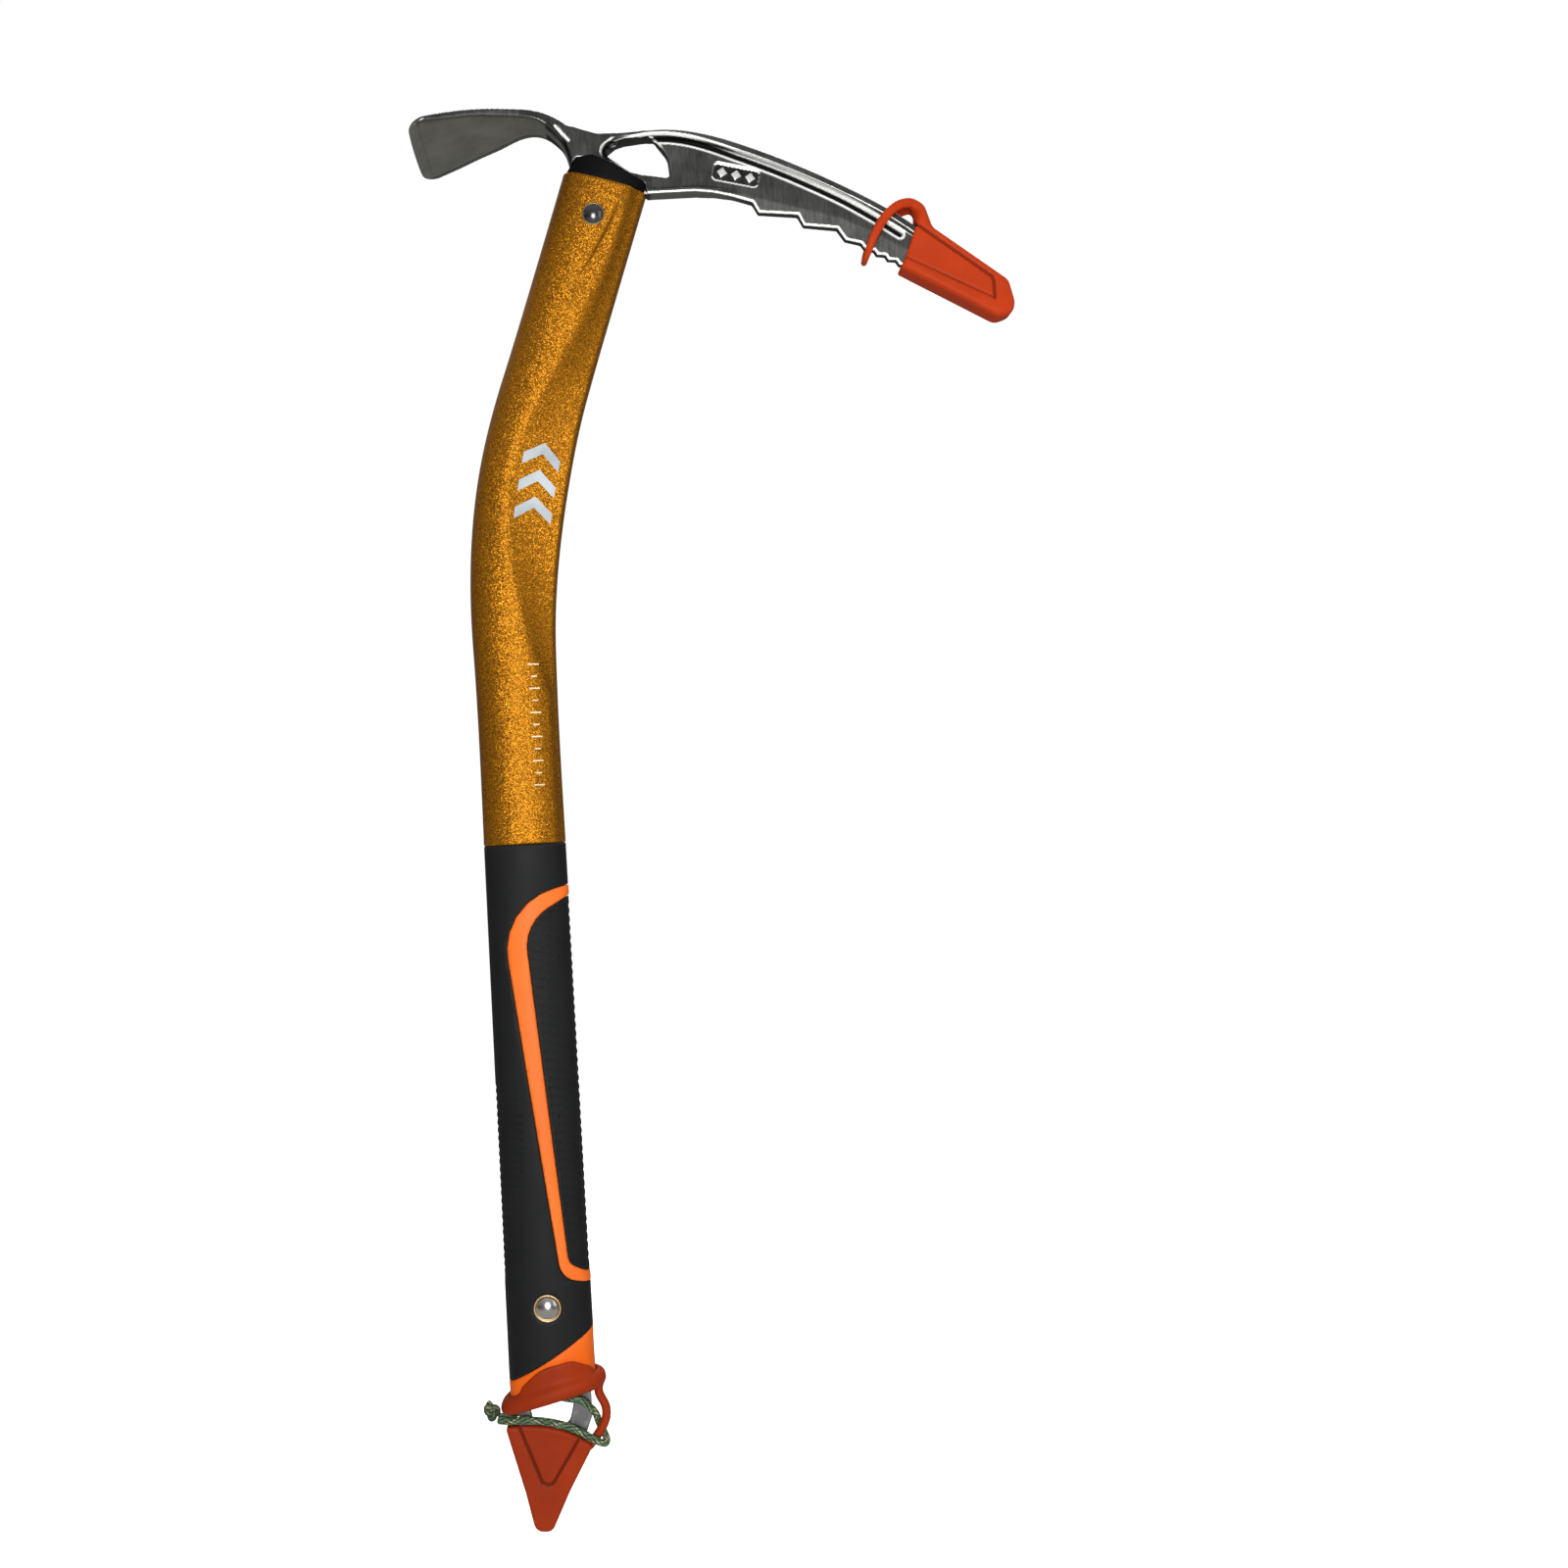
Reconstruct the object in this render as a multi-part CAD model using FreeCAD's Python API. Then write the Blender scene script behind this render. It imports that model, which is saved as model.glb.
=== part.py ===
"""Ice axe with a curved shaft, a forged head, a moulded grip, a spike and rubber guards on both points.

Lengths are millimetres. Points are given in the shaft's frame: x runs from the grip's axis towards the pick,
y across the axe, z up the grip from its lower end. The finished solids are moved so that the origin is the
middle of the eye in the head.
"""
import FreeCAD, Part
import math
import os

V = FreeCAD.Vector

# Frame: the middle of the head's eye, in the shaft's frame
EYE_X = 62.0
EYE_Z = 506.0

# Shaft: a straight lower run, one bend, a straight upper run
BEND_START = 305.0
BEND_RADIUS = 322.0
BEND_ANGLE = math.radians(19.4)
UPPER_RUN = 90.5
SHAFT_HALF_DEPTH = 11.0
WALL = 1.6
SHAFT_STATIONS = [(222.0, 17.2), (300.0, 17.3), (340.0, 18.5), (380.0, 19.0), (415.0, 18.2), (445.0, 17.9)]
END_ROUNDNESS = 0.78

# Grip
GRIP_TOP = 222.0
GRIP_TOP_HALF_WIDTH = 17.2
GRIP_END_HALF_WIDTH = 18.3
GRIP_END_HALF_DEPTH = 11.8
GRIP_FLOOR = -18.0
GRIP_END_SLOPE = 0.264
GRIP_END_Z = -7.75
TUBE_END = 0.0
TUBE_HALF_WIDTH = 15.0
TUBE_HALF_DEPTH = 8.8
BASE_LAYER = 1.0
COLOUR_LINE_SLOPE = 0.587
COLOUR_LINE_Z = 8.4
PANEL = [(30.0, 207.5, 0), (-11.4, 197.0, 26.0), (6.4, 42.0, 9.0), (30.0, 34.0, 0)]
PANEL_INSIDE = [(30.0, 207.0, 0), (-1.7, 189.5, 19.0), (9.6, 47.5, 6.0), (30.0, 34.5, 0)]

# Rivets
HEAD_RIVET_BELOW_TOP = 17.5
HEAD_RIVET_DOME = 4.0
HEAD_SHANK = 3.0
SPIKE_RIVET_Z = 30.0
SPIKE_RIVET_DOME = 4.4
SPIKE_SHANK = 3.2
DOME_HEIGHT = 1.5
WASHER_RADIUS = 5.7
HEAD_WASHER_RADIUS = 4.7
WASHER_THICKNESS = 1.0
WASHER_PROUD = 0.25

# Head
PICK_HALF_DEPTH = 2.4
SPINE_HALF_DEPTH = 4.0
SPINE_DROP = 3.4
SPINE_OVERLAP = 3.0
NECK_HALF_DEPTH = 6.0
SPINE = [(36.0, 519.6), (46.0, 516.7), (62.0, 516.9), (74.9, 517.3), (107.3, 508.9), (139.3, 494.3),
         (162.2, 481.6), (176.3, 472.3), (204.0, 448.0)]
PICK_TIP = (211.5, 436.0)
UNDERSIDE_START = [(67.0, 489.5), (81.8, 489.5), (106.4, 485.3)]
BIG_TEETH = [(110.0, 481.0), (126.6, 478.1), (130.6, 474.2), (143.6, 471.9), (146.7, 467.6), (154.0, 466.0)]
SMALL_TOOTH_START = (156.0, 463.4)
SMALL_TOOTH_END = (206.0, 437.6)
SMALL_TEETH = 11
SMALL_TOOTH_DEPTH = 1.4
GROOVE_DEPTH = 0.8
GROOVE_WIDTH = 3.2
RIB_BESIDE_GROOVE = 1.0
WEB_BACK = [(65.8, 491.3), (36.0, 501.8), (34.5, 509.0)]
EYE_HOLE = [(48.6, 509.6, 1.2), (56.0, 514.2, 9.0), (69.5, 514.6, 5.0), (75.6, 506.0, 7.0),
            (75.8, 497.4, 1.6), (62.0, 500.0, 14.0)]
NECK = [(32.0, 518.6, 0), (45.0, 515.8, 3.0), (50.0, 513.6, 3.0), (48.0, 508.0, 3.0), (62.0, 499.0, 6.0),
        (66.4, 496.5, 0), (66.4, 491.1, 0), (36.0, 501.8, 0), (32.5, 507.0, 0)]
ADZE_TOP = [(40.0, 518.7), (33.0, 521.6), (26.0, 524.4), (16.0, 525.8), (6.0, 524.3), (-5.0, 522.1),
            (-15.0, 519.7), (-24.7, 516.9), (-31.5, 514.6)]
ADZE_UNDER = [(-30.8, 513.4), (-24.9, 515.0), (-14.5, 517.3), (-4.6, 519.6), (5.3, 521.2), (13.0, 522.5),
              (19.6, 522.4), (24.5, 520.4), (28.5, 516.8), (31.5, 513.0), (33.6, 508.4), (34.4, 504.0)]
ADZE_ROOT = (42.0, 503.0)
# The blade from above, as (x, half width): neck, flank, the rounded corner's middle, and the cutting edge
ADZE_FLANK = [(46.0, 6.0), (30.0, 6.0), (19.6, 9.3), (13.0, 11.6), (5.5, 15.8), (-4.5, 20.6), (-25.5, 28.0)]
ADZE_CORNER = (-29.0, 26.0)
ADZE_EDGE_END = (-30.8, 20.0)
ADZE_EDGE_X = -31.5
TANG_HALF_WIDTH = 13.0
TANG_HALF_DEPTH = 4.0
TANG_LENGTH = 34.0
TANG_RISE = 6.0
SADDLE = [(32.0, 500.5, 1.0), (36.8, 506.6, 1.5), (43.3, 506.4, 3.0), (59.5, 497.6, 4.0), (64.8, 495.8, 1.5),
          (67.0, 488.0, 0), (32.0, 500.0, 0)]
SADDLE_INSET = (0.4, 0.6)
SADDLE_RISE = 25.0
SKIRT_LENGTH = 24.0
SKIRT_RISE = 2.0

# Spike
SPIKE_HALF_DEPTH = 2.0
SPIKE_BLADE = [(-14.4, 0.0, 0), (-14.4, -14.0, 2.0), (-15.4, -22.0, 3.0), (-14.4, -31.0, 0),
               (-7.4, -62.0, 1.6), (11.0, -31.0, 0), (15.8, -19.0, 3.0), (15.8, -5.0, 0), (14.4, -3.8, 0),
               (14.4, 0.0, 0)]
SPIKE_SHOULDER = -3.0
SPIKE_TONGUE = [(-10.0, -4.0, 0), (10.0, -4.0, 0), (10.0, 44.0, 2.0), (-10.0, 44.0, 2.0)]
SPIKE_EYE = [(-11.5, -7.6, 3.0), (9.6, -7.6, 3.0), (6.0, -22.6, 4.0), (-8.6, -22.6, 4.0)]
PLUG_TOP = 48.0
PLUG_EASE = 0.05
PLUG_RECESS = 0.6

# Pick guard
GUARD_HALF_DEPTH = 5.8
GUARD_SIDE = [(169.6, 454.2, 1.0), (178.4, 477.0, 3.0), (176.4, 481.6, 1.2), (180.8, 481.0, 2.0),
              (184.0, 470.4, 5.0), (214.6, 447.2, 5.0), (216.8, 438.0, 4.0), (215.8, 433.4, 4.0),
              (209.4, 431.2, 5.0)]
GUARD_ROOM_HALF_DEPTH = 3.9
GUARD_ROOM = [(160.0, 486.6, 0), (176.9, 473.2, 0), (192.6, 460.6, 0), (205.0, 448.9, 0), (213.2, 436.8, 1.5),
              (211.6, 433.8, 0), (160.0, 461.4, 0)]
PICK_LOOP_LOW = (155.8, 454.6)
PICK_LOOP_HIGH = (177.6, 480.4)
PICK_LOOP_HALF_DEPTH = 6.8
PICK_LOOP_RADIUS = 2.0

# Spike guard
CLEARANCE = 0.35
RING_HALF_WIDTH = 24.0
RING_HALF_HEIGHT = 3.7
RING_THICKNESS = 3.7
RING_MID_Z = -8.2
RING_SLOPE = 0.25
RING_SADDLE = 3.2
RING_MID_X = 0.8
FLAP_THICKNESS = 1.3
FLAP_SIDE = [(-15.0, -8.0, 0), (-12.0, -2.0, 4.0), (-4.0, 5.4, 14.0), (9.0, 8.0, 8.0), (17.4, 3.4, 3.0),
             (17.4, -5.0, 0)]
SHEATH_HALF_DEPTH = 4.6
SHEATH_SIDE = [(-20.2, -21.6, 1.5), (-6.0, -20.9, 40.0), (6.0, -24.2, 30.0), (15.6, -30.6, 1.5),
               (5.1, -49.0, 0), (-3.2, -65.8, 3.6), (-10.2, -65.4, 4.0), (-13.6, -49.0, 0)]
SHEATH_ROOM_HALF_DEPTH = 2.35
SHEATH_ROOM = [(-17.9, -10.0, 0), (-17.9, -20.5, 0), (-15.6, -31.4, 0), (-9.2, -61.6, 1.0),
               (-6.2, -62.6, 1.0), (-4.6, -61.6, 0), (11.4, -31.2, 0), (17.0, -18.0, 0), (17.0, -10.0, 0)]
PLATE_WAY = [(-17.9, -10.0, 0), (-17.9, -20.5, 0), (-15.6, -31.4, 0), (11.4, -31.2, 0), (16.2, -19.4, 0),
             (16.2, -10.0, 0)]
STRAP_RADIUS = 1.7
STRAP_LINE = [(20.2, -3.6), (19.0, -9.5), (21.3, -14.6), (21.6, -19.8), (19.0, -25.4), (14.2, -31.5)]

# Tether cord
CORD_RADIUS = 1.5
CORD_ARC_SHARE = 0.45
CORD_ROUTE = [(-24.0, -1.9, -18.6), (-19.0, -3.0, -19.0), (-13.0, -4.4, -18.1), (-6.0, -4.4, -18.7),
              (0.5, -4.4, -20.0), (6.5, -4.4, -22.1), (12.0, -4.4, -25.0), (16.8, -4.2, -28.2),
              (20.6, -2.6, -30.6), (21.6, 1.2, -30.2), (19.8, 4.0, -27.0), (17.9, 2.6, -22.5),
              (17.7, -1.8, -18.0), (15.0, -4.6, -13.6), (11.2, -4.8, -10.6), (6.4, -3.9, -10.4),
              (3.0, 0.0, -10.9), (0.0, 3.9, -11.6), (-6.0, 4.6, -13.6), (-12.8, 4.4, -16.6),
              (-19.0, 3.0, -19.0), (-24.0, 1.9, -18.6)]
KNOT_CENTRE = (-26.2, 0.0, -15.8)
KNOT_HALF = (3.7, 3.9, 4.0)


# Cutting shapes reach this far, past every piece
PAST = 40.0

# ---------------------------------------------------------------- helpers

def save(shape, name):
    """Moves a finished solid to the eye's frame and writes it as its own node."""
    moved = shape.copy()
    moved.translate(V(-EYE_X, 0, -EYE_Z))
    moved.exportStep("parts/" + name + ".step")
    box = moved.BoundBox
    print("%-22s solids %d valid %s volume %8.0f  x %.1f %.1f  y %.1f %.1f  z %.1f %.1f" % (
        name, len(moved.Solids), moved.isValid(), moved.Volume,
        box.XMin, box.XMax, box.YMin, box.YMax, box.ZMin, box.ZMax))


def single(shape):
    """The one solid of a boolean result, so that no stray face is exported."""
    solids = sorted(shape.Solids, key=lambda s: s.Volume)
    return solids[-1]


def outline(corners):
    """Closed wire in the xz plane through (x, z, radius) corners, each rounded by its radius."""
    count = len(corners)
    points = [V(x, 0, z) for x, z, _ in corners]
    edges = []
    ends = []
    for i, (_, _, radius) in enumerate(corners):
        here = points[i]
        back = (points[i - 1] - here).normalize()
        ahead = (points[(i + 1) % count] - here).normalize()
        if radius <= 0:
            ends.append((here, None, here))
            continue
        half = back.getAngle(ahead) / 2
        reach = radius / math.tan(half)
        middle = (back + ahead).normalize()
        nearest = here + middle * (radius / math.sin(half) - radius)
        ends.append((here + back * reach, nearest, here + ahead * reach))
    for i in range(count):
        first, nearest, last = ends[i]
        if nearest is not None:
            edges.append(Part.Arc(first, nearest, last).toShape())
        following = ends[(i + 1) % count][0]
        if (following - last).Length > 1e-6:
            edges.append(Part.makeLine(last, following))
    return Part.Wire(edges)


def slab(wire, half_depth):
    """A flat piece with this side outline, its middle on the plane y = 0."""
    face = Part.Face(wire)
    face.translate(V(0, -half_depth, 0))
    return face.extrude(V(0, 2 * half_depth, 0))


def oval(half_width, half_depth, end_radius, origin, across, along):
    """Closed wire of four tangent arcs round origin, wide along across and deep along y."""
    rise = (half_width - end_radius) ** 2 + half_depth ** 2 - end_radius ** 2
    flat = rise / (2 * (half_depth - end_radius))
    lean = math.atan2(half_width - end_radius, flat - half_depth)
    joint_u = half_width - end_radius + end_radius * math.sin(lean)
    joint_v = end_radius * math.cos(lean)

    def at(u, v):
        return origin + across * u + V(0, 1, 0) * v

    quarter = [at(joint_u, -joint_v), at(half_width, 0), at(joint_u, joint_v), at(0, half_depth),
               at(-joint_u, joint_v), at(-half_width, 0), at(-joint_u, -joint_v), at(0, -half_depth)]
    arcs = [Part.Arc(quarter[i], quarter[i + 1], quarter[(i + 2) % 8]).toShape() for i in (0, 2, 4, 6)]
    return Part.Wire(arcs)


def shaft_station(distance):
    """Point on the shaft's axis, and the directions along and across it, at a distance along the axis."""
    turned = min(max(distance - BEND_START, 0.0), BEND_RADIUS * BEND_ANGLE) / BEND_RADIUS
    beyond = max(distance - BEND_START - BEND_RADIUS * BEND_ANGLE, 0.0)
    low = min(distance, BEND_START)
    along = V(math.sin(turned), 0, math.cos(turned))
    across = V(math.cos(turned), 0, -math.sin(turned))
    start = V(BEND_RADIUS * (1 - math.cos(turned)), 0, low + BEND_RADIUS * math.sin(turned))
    return start + along * beyond, along, across


SHAFT_LENGTH = BEND_START + BEND_RADIUS * BEND_ANGLE + UPPER_RUN


def shaft_section(distance, half_width, half_depth, inset=0.0):
    """The oval across the shaft at a distance along it, drawn in by inset."""
    origin, along, across = shaft_station(distance)
    end_radius = half_depth * END_ROUNDNESS - inset
    return oval(half_width - inset, half_depth - inset, end_radius, origin, across, along)


def straight_oval(low, high, bottom_size, top_size, inset=0.0):
    """A solid oval along the grip's straight axis, from (half width, half depth) to another."""
    wires = [shaft_section(low, bottom_size[0], bottom_size[1], inset),
             shaft_section(high, top_size[0], top_size[1], inset)]
    return Part.makeLoft(wires, True, True)


def pin(origin, radius, half_length):
    """A round bar across the axe, centred on y = 0."""
    return Part.makeCylinder(radius, 2 * half_length, origin - V(0, half_length, 0), V(0, 1, 0))


def dome(origin, side, seat, radius):
    """A rivet's domed end on one side, standing on y = side * seat."""
    ball_radius = (radius ** 2 + DOME_HEIGHT ** 2) / (2 * DOME_HEIGHT)
    centre = origin + V(0, side * (seat + DOME_HEIGHT - ball_radius), 0)
    ball = Part.makeSphere(ball_radius, centre)
    start = origin + V(0, side * seat, 0)
    keep = Part.makeCylinder(radius, 2 * DOME_HEIGHT, start, V(0, side, 0))
    return single(ball.common(keep))


def half_plane_block(slope, level, above):
    """A block on one side of the slanted plane z = level + slope * x."""
    span = SHAFT_LENGTH if above else -2 * PAST
    left = V(-PAST, -PAST, level - slope * PAST)
    right = V(PAST, -PAST, level + slope * PAST)
    wire = Part.makePolygon([left, right, right + V(0, 0, span), left + V(0, 0, span), left])
    return Part.Face(wire).extrude(V(0, 2 * PAST, 0))


# ---------------------------------------------------------------- shaft and grip

def shaft():
    """The tube: one loft from the grip's top to the head, and a narrower run under the grip."""
    stations = SHAFT_STATIONS + [(SHAFT_LENGTH, SHAFT_STATIONS[-1][1])]
    outer = Part.makeLoft([shaft_section(s, w, SHAFT_HALF_DEPTH) for s, w in stations], True)
    inner_stations = [(stations[0][0] + WALL, stations[0][1])] + stations[1:]
    inner = Part.makeLoft([shaft_section(s, w, SHAFT_HALF_DEPTH, WALL) for s, w in inner_stations], True)
    size = (TUBE_HALF_WIDTH, TUBE_HALF_DEPTH)
    lower = straight_oval(TUBE_END, GRIP_TOP, size, size)
    lower_bore = straight_oval(TUBE_END, GRIP_TOP + WALL, size, size, WALL)
    tube = outer.fuse(lower).cut(inner.fuse(lower_bore))
    tube = tube.cut(pin(head_rivet_place(), HEAD_WASHER_RADIUS, PAST))
    tube = tube.cut(pin(V(0, 0, SPIKE_RIVET_Z), SPIKE_SHANK, PAST))
    return single(tube)


def grip_outer():
    top = (GRIP_TOP_HALF_WIDTH, SHAFT_HALF_DEPTH)
    bottom = (GRIP_END_HALF_WIDTH, GRIP_END_HALF_DEPTH)
    return straight_oval(GRIP_FLOOR, GRIP_TOP, bottom, top)


def grip_inner():
    size = (TUBE_HALF_WIDTH, TUBE_HALF_DEPTH)
    return straight_oval(GRIP_FLOOR - 1, GRIP_TOP, size, size)


def grip_pieces():
    """The orange base with its stripe and slanted end, the black cover, and the pad inside the stripe."""
    end_cut = half_plane_block(GRIP_END_SLOPE, GRIP_END_Z, True)
    body = grip_outer().cut(grip_inner()).common(end_cut)
    black_zone = half_plane_block(COLOUR_LINE_SLOPE, COLOUR_LINE_Z, True)
    sleeve_size = (TUBE_HALF_WIDTH + BASE_LAYER, TUBE_HALF_DEPTH + BASE_LAYER)
    sleeve = straight_oval(GRIP_FLOOR - 1, GRIP_TOP, sleeve_size, sleeve_size)
    panel = slab(outline(PANEL), PAST)
    panel_inside = slab(outline(PANEL_INSIDE), PAST)
    skin = body.cut(sleeve).common(black_zone)
    washer_seat = pin(V(0, 0, SPIKE_RIVET_Z), WASHER_RADIUS, PAST)
    cover = skin.cut(panel).cut(washer_seat)
    pad = skin.common(panel_inside)
    base = body.cut(cover).cut(pad).cut(washer_seat_cut())
    return single(base), single(cover), single(pad)


def washer_seat_cut():
    """Room in the grip for the washers: the full washer outside, the shank's hole further in."""
    centre = V(0, 0, SPIKE_RIVET_Z)
    wide = pin(centre, WASHER_RADIUS, PAST).cut(pin(centre, 2 * WASHER_RADIUS, washer_inner_face()))
    return wide.fuse(pin(centre, SPIKE_SHANK, PAST))


def grip_half_depth_at(z):
    """Half depth of the grip's outside on the middle line at a height."""
    share = (z - GRIP_FLOOR) / (GRIP_TOP - GRIP_FLOOR)
    return GRIP_END_HALF_DEPTH + (SHAFT_HALF_DEPTH - GRIP_END_HALF_DEPTH) * share


def washer_inner_face():
    return grip_half_depth_at(SPIKE_RIVET_Z) + WASHER_PROUD - WASHER_THICKNESS


def ring_pair(origin, outer_radius, hole_radius, inner_face):
    """Two equal flat rings, one on each side of the axe."""
    rings = []
    for side in (-1, 1):
        start = origin + V(0, side * inner_face, 0)
        disc = Part.makeCylinder(outer_radius, WASHER_THICKNESS, start, V(0, side, 0))
        rings.append(disc.cut(pin(origin, hole_radius, PAST)))
    return Part.Compound([single(r) for r in rings])


def rivet(origin, shank_radius, dome_radius, seat):
    body = pin(origin, shank_radius, seat)
    for side in (-1, 1):
        body = body.fuse(dome(origin, side, seat, dome_radius))
    return single(body.removeSplitter())


def head_rivet_place():
    return shaft_station(SHAFT_LENGTH - HEAD_RIVET_BELOW_TOP)[0]


# ---------------------------------------------------------------- head

def spline(points):
    curve = Part.BSplineCurve()
    curve.interpolate([V(x, 0, z) for x, z in points])
    return curve


def small_teeth():
    """The fine teeth under the pick's end: each a slanted step down towards the tip."""
    points = []
    for i in range(SMALL_TEETH):
        for share, lift in ((0.0, 0.0), (0.75, SMALL_TOOTH_DEPTH)):
            t = (i + share) / SMALL_TEETH
            x = SMALL_TOOTH_START[0] + (SMALL_TOOTH_END[0] - SMALL_TOOTH_START[0]) * t
            z = SMALL_TOOTH_START[1] + (SMALL_TOOTH_END[1] - SMALL_TOOTH_START[1]) * t
            points.append((x, z + lift))
    return points


def pick_outline():
    """Side outline of the pick and the web round the eye."""
    top = spline(SPINE).toShape()
    under = small_teeth()[::-1] + BIG_TEETH[::-1] + UNDERSIDE_START[::-1]
    path = [SPINE[-1], PICK_TIP] + under + WEB_BACK + [SPINE[0]]
    lines = [Part.makeLine(V(a[0], 0, a[1]), V(b[0], 0, b[1])) for a, b in zip(path, path[1:])]
    return Part.Wire([top] + lines)


def under_spine(drop_from, drop_to, first, last):
    """Outline of a band that follows the spine, between two depths below it."""
    curve = spline(SPINE)
    low_u = curve.parameter(V(first[0], 0, first[1]))
    high_u = curve.parameter(V(last[0], 0, last[1]))
    steps = 9
    upper = []
    lower = []
    for i in range(steps):
        u = low_u + (high_u - low_u) * i / (steps - 1)
        point = curve.value(u)
        tangent = V(*curve.tangent(u)[0])
        down = V(tangent.z, 0, -tangent.x).normalize()
        upper.append(point + down * drop_from)
        lower.append(point + down * drop_to)
    top = Part.BSplineCurve()
    top.interpolate(upper)
    bottom = Part.BSplineCurve()
    bottom.interpolate(lower)
    return Part.Wire([top.toShape(), Part.makeLine(upper[-1], lower[-1]), bottom.toShape(),
                      Part.makeLine(lower[0], upper[0])])


def adze():
    """The blade: a curved band seen from the side, trimmed to its widening shape seen from above."""
    top_start = V(ADZE_TOP[0][0], 0, ADZE_TOP[0][1])
    top_end = V(ADZE_TOP[-1][0], 0, ADZE_TOP[-1][1])
    under_start = V(ADZE_UNDER[0][0], 0, ADZE_UNDER[0][1])
    under_end = V(ADZE_UNDER[-1][0], 0, ADZE_UNDER[-1][1])
    root = V(ADZE_ROOT[0], 0, ADZE_ROOT[1])
    side = Part.Wire([spline(ADZE_TOP).toShape(), Part.makeLine(top_end, under_start),
                      spline(ADZE_UNDER).toShape(), Part.makeLine(under_end, root),
                      Part.makeLine(root, top_start)])
    return single(slab(side, PAST).common(adze_plan()))


def adze_plan():
    """A block with the blade's plan: a slightly curved cutting edge, straight flanks, a narrow neck."""
    low = ADZE_TOP[0][1] - PAST

    def corner(place, side):
        return V(place[0], side * place[1], low)

    lines = []
    for side in (1, -1):
        flank = [corner(place, side) for place in ADZE_FLANK]
        lines += [Part.makeLine(a, b) for a, b in zip(flank, flank[1:])]
        rounded = Part.Arc(flank[-1], corner(ADZE_CORNER, side), corner(ADZE_EDGE_END, side))
        lines.append(rounded.toShape())
    edge = Part.Arc(corner(ADZE_EDGE_END, 1), V(ADZE_EDGE_X, 0, low), corner(ADZE_EDGE_END, -1)).toShape()
    closing = Part.makeLine(corner(ADZE_FLANK[0], 1), corner(ADZE_FLANK[0], -1))
    wire = Part.Wire(Part.__sortEdges__(lines + [edge, closing]))
    return Part.Face(wire).extrude(V(0, 0, 2 * PAST))


def tang():
    """The flat tongue inside the tube, along the shaft's upper run."""
    top, along, across = shaft_station(SHAFT_LENGTH + TANG_RISE)
    wide = across * 2 * TANG_HALF_WIDTH
    deep = V(0, 2 * TANG_HALF_DEPTH, 0)
    corner = top - (wide + deep) / 2
    wire = Part.makePolygon([corner, corner + wide, corner + wide + deep, corner + deep, corner])
    return Part.Face(wire).extrude(along * -(TANG_LENGTH + TANG_RISE))


def head():
    """Pick, spine, neck, adze and tang as one forging, with the eye and the long groove cut in."""
    plate = slab(pick_outline(), PICK_HALF_DEPTH)
    band = slab(under_spine(-SPINE_OVERLAP, SPINE_DROP, SPINE[1], SPINE[-2]), PAST)
    spine = slab(pick_outline(), SPINE_HALF_DEPTH).common(band)
    body = plate.fuse([spine, slab(outline(NECK), NECK_HALF_DEPTH), adze(), tang()])
    groove_end = SPINE_DROP + GROOVE_WIDTH
    groove = slab(under_spine(SPINE_DROP, groove_end, SPINE[3], SPINE[-3]), PAST)
    beside = (SPINE_DROP - RIB_BESIDE_GROOVE, groove_end + RIB_BESIDE_GROOVE)
    core = slab(under_spine(*beside, SPINE[2], SPINE[-2]), PICK_HALF_DEPTH - GROOVE_DEPTH)
    body = body.cut(groove.cut(core))
    body = body.cut(slab(outline(EYE_HOLE), PAST))
    return single(body.cut(pin(head_rivet_place(), HEAD_SHANK, PAST)))


def head_spacer(head_shape):
    """The plastic insert: a saddle under the forging and a skirt that fills the tube round the tang."""
    along = shaft_station(SHAFT_LENGTH)[1]
    half_width = SHAFT_STATIONS[-1][1]
    size = (half_width - SADDLE_INSET[0], SHAFT_HALF_DEPTH - SADDLE_INSET[1])
    rise = Part.Face(shaft_section(SHAFT_LENGTH, *size)).extrude(along * SADDLE_RISE)
    saddle = slab(outline(SADDLE), PAST).common(rise)
    bore = Part.Face(shaft_section(SHAFT_LENGTH, half_width, SHAFT_HALF_DEPTH, WALL + PLUG_EASE))
    skirt = bore.extrude(along * -SKIRT_LENGTH)
    bridge = bore.extrude(along * SKIRT_RISE).common(slab(outline(SADDLE), PAST))
    body = saddle.fuse([skirt, bridge]).cut(head_shape)
    return single(body.cut(pin(head_rivet_place(), HEAD_SHANK, PAST)))


# ---------------------------------------------------------------- spike

def spike():
    """The stainless plate: its tang inside the plug, its eye, and its point off the shaft's axis."""
    blade = slab(outline(SPIKE_BLADE), SPIKE_HALF_DEPTH).common(half_plane_block(0, SPIKE_SHOULDER, False))
    body = blade.fuse(slab(outline(SPIKE_TONGUE), SPIKE_HALF_DEPTH))
    body = body.cut(slab(outline(SPIKE_EYE), PAST))
    return single(body.cut(pin(V(0, 0, SPIKE_RIVET_Z), SPIKE_SHANK, PAST)))


def spike_plug(spike_shape):
    """The block in the tube's end, slotted for the spike, its lower face slanted like the grip's."""
    full = (TUBE_HALF_WIDTH, TUBE_HALF_DEPTH)
    inside = straight_oval(TUBE_END, PLUG_TOP, full, full, WALL + PLUG_EASE)
    foot = straight_oval(GRIP_FLOOR, TUBE_END, full, full, PLUG_EASE)
    foot = foot.common(half_plane_block(GRIP_END_SLOPE, GRIP_END_Z + PLUG_RECESS, True))
    body = inside.fuse(foot).cut(spike_shape)
    return single(body.cut(pin(V(0, 0, SPIKE_RIVET_Z), SPIKE_SHANK, PAST)))


# ---------------------------------------------------------------- guards

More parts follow.
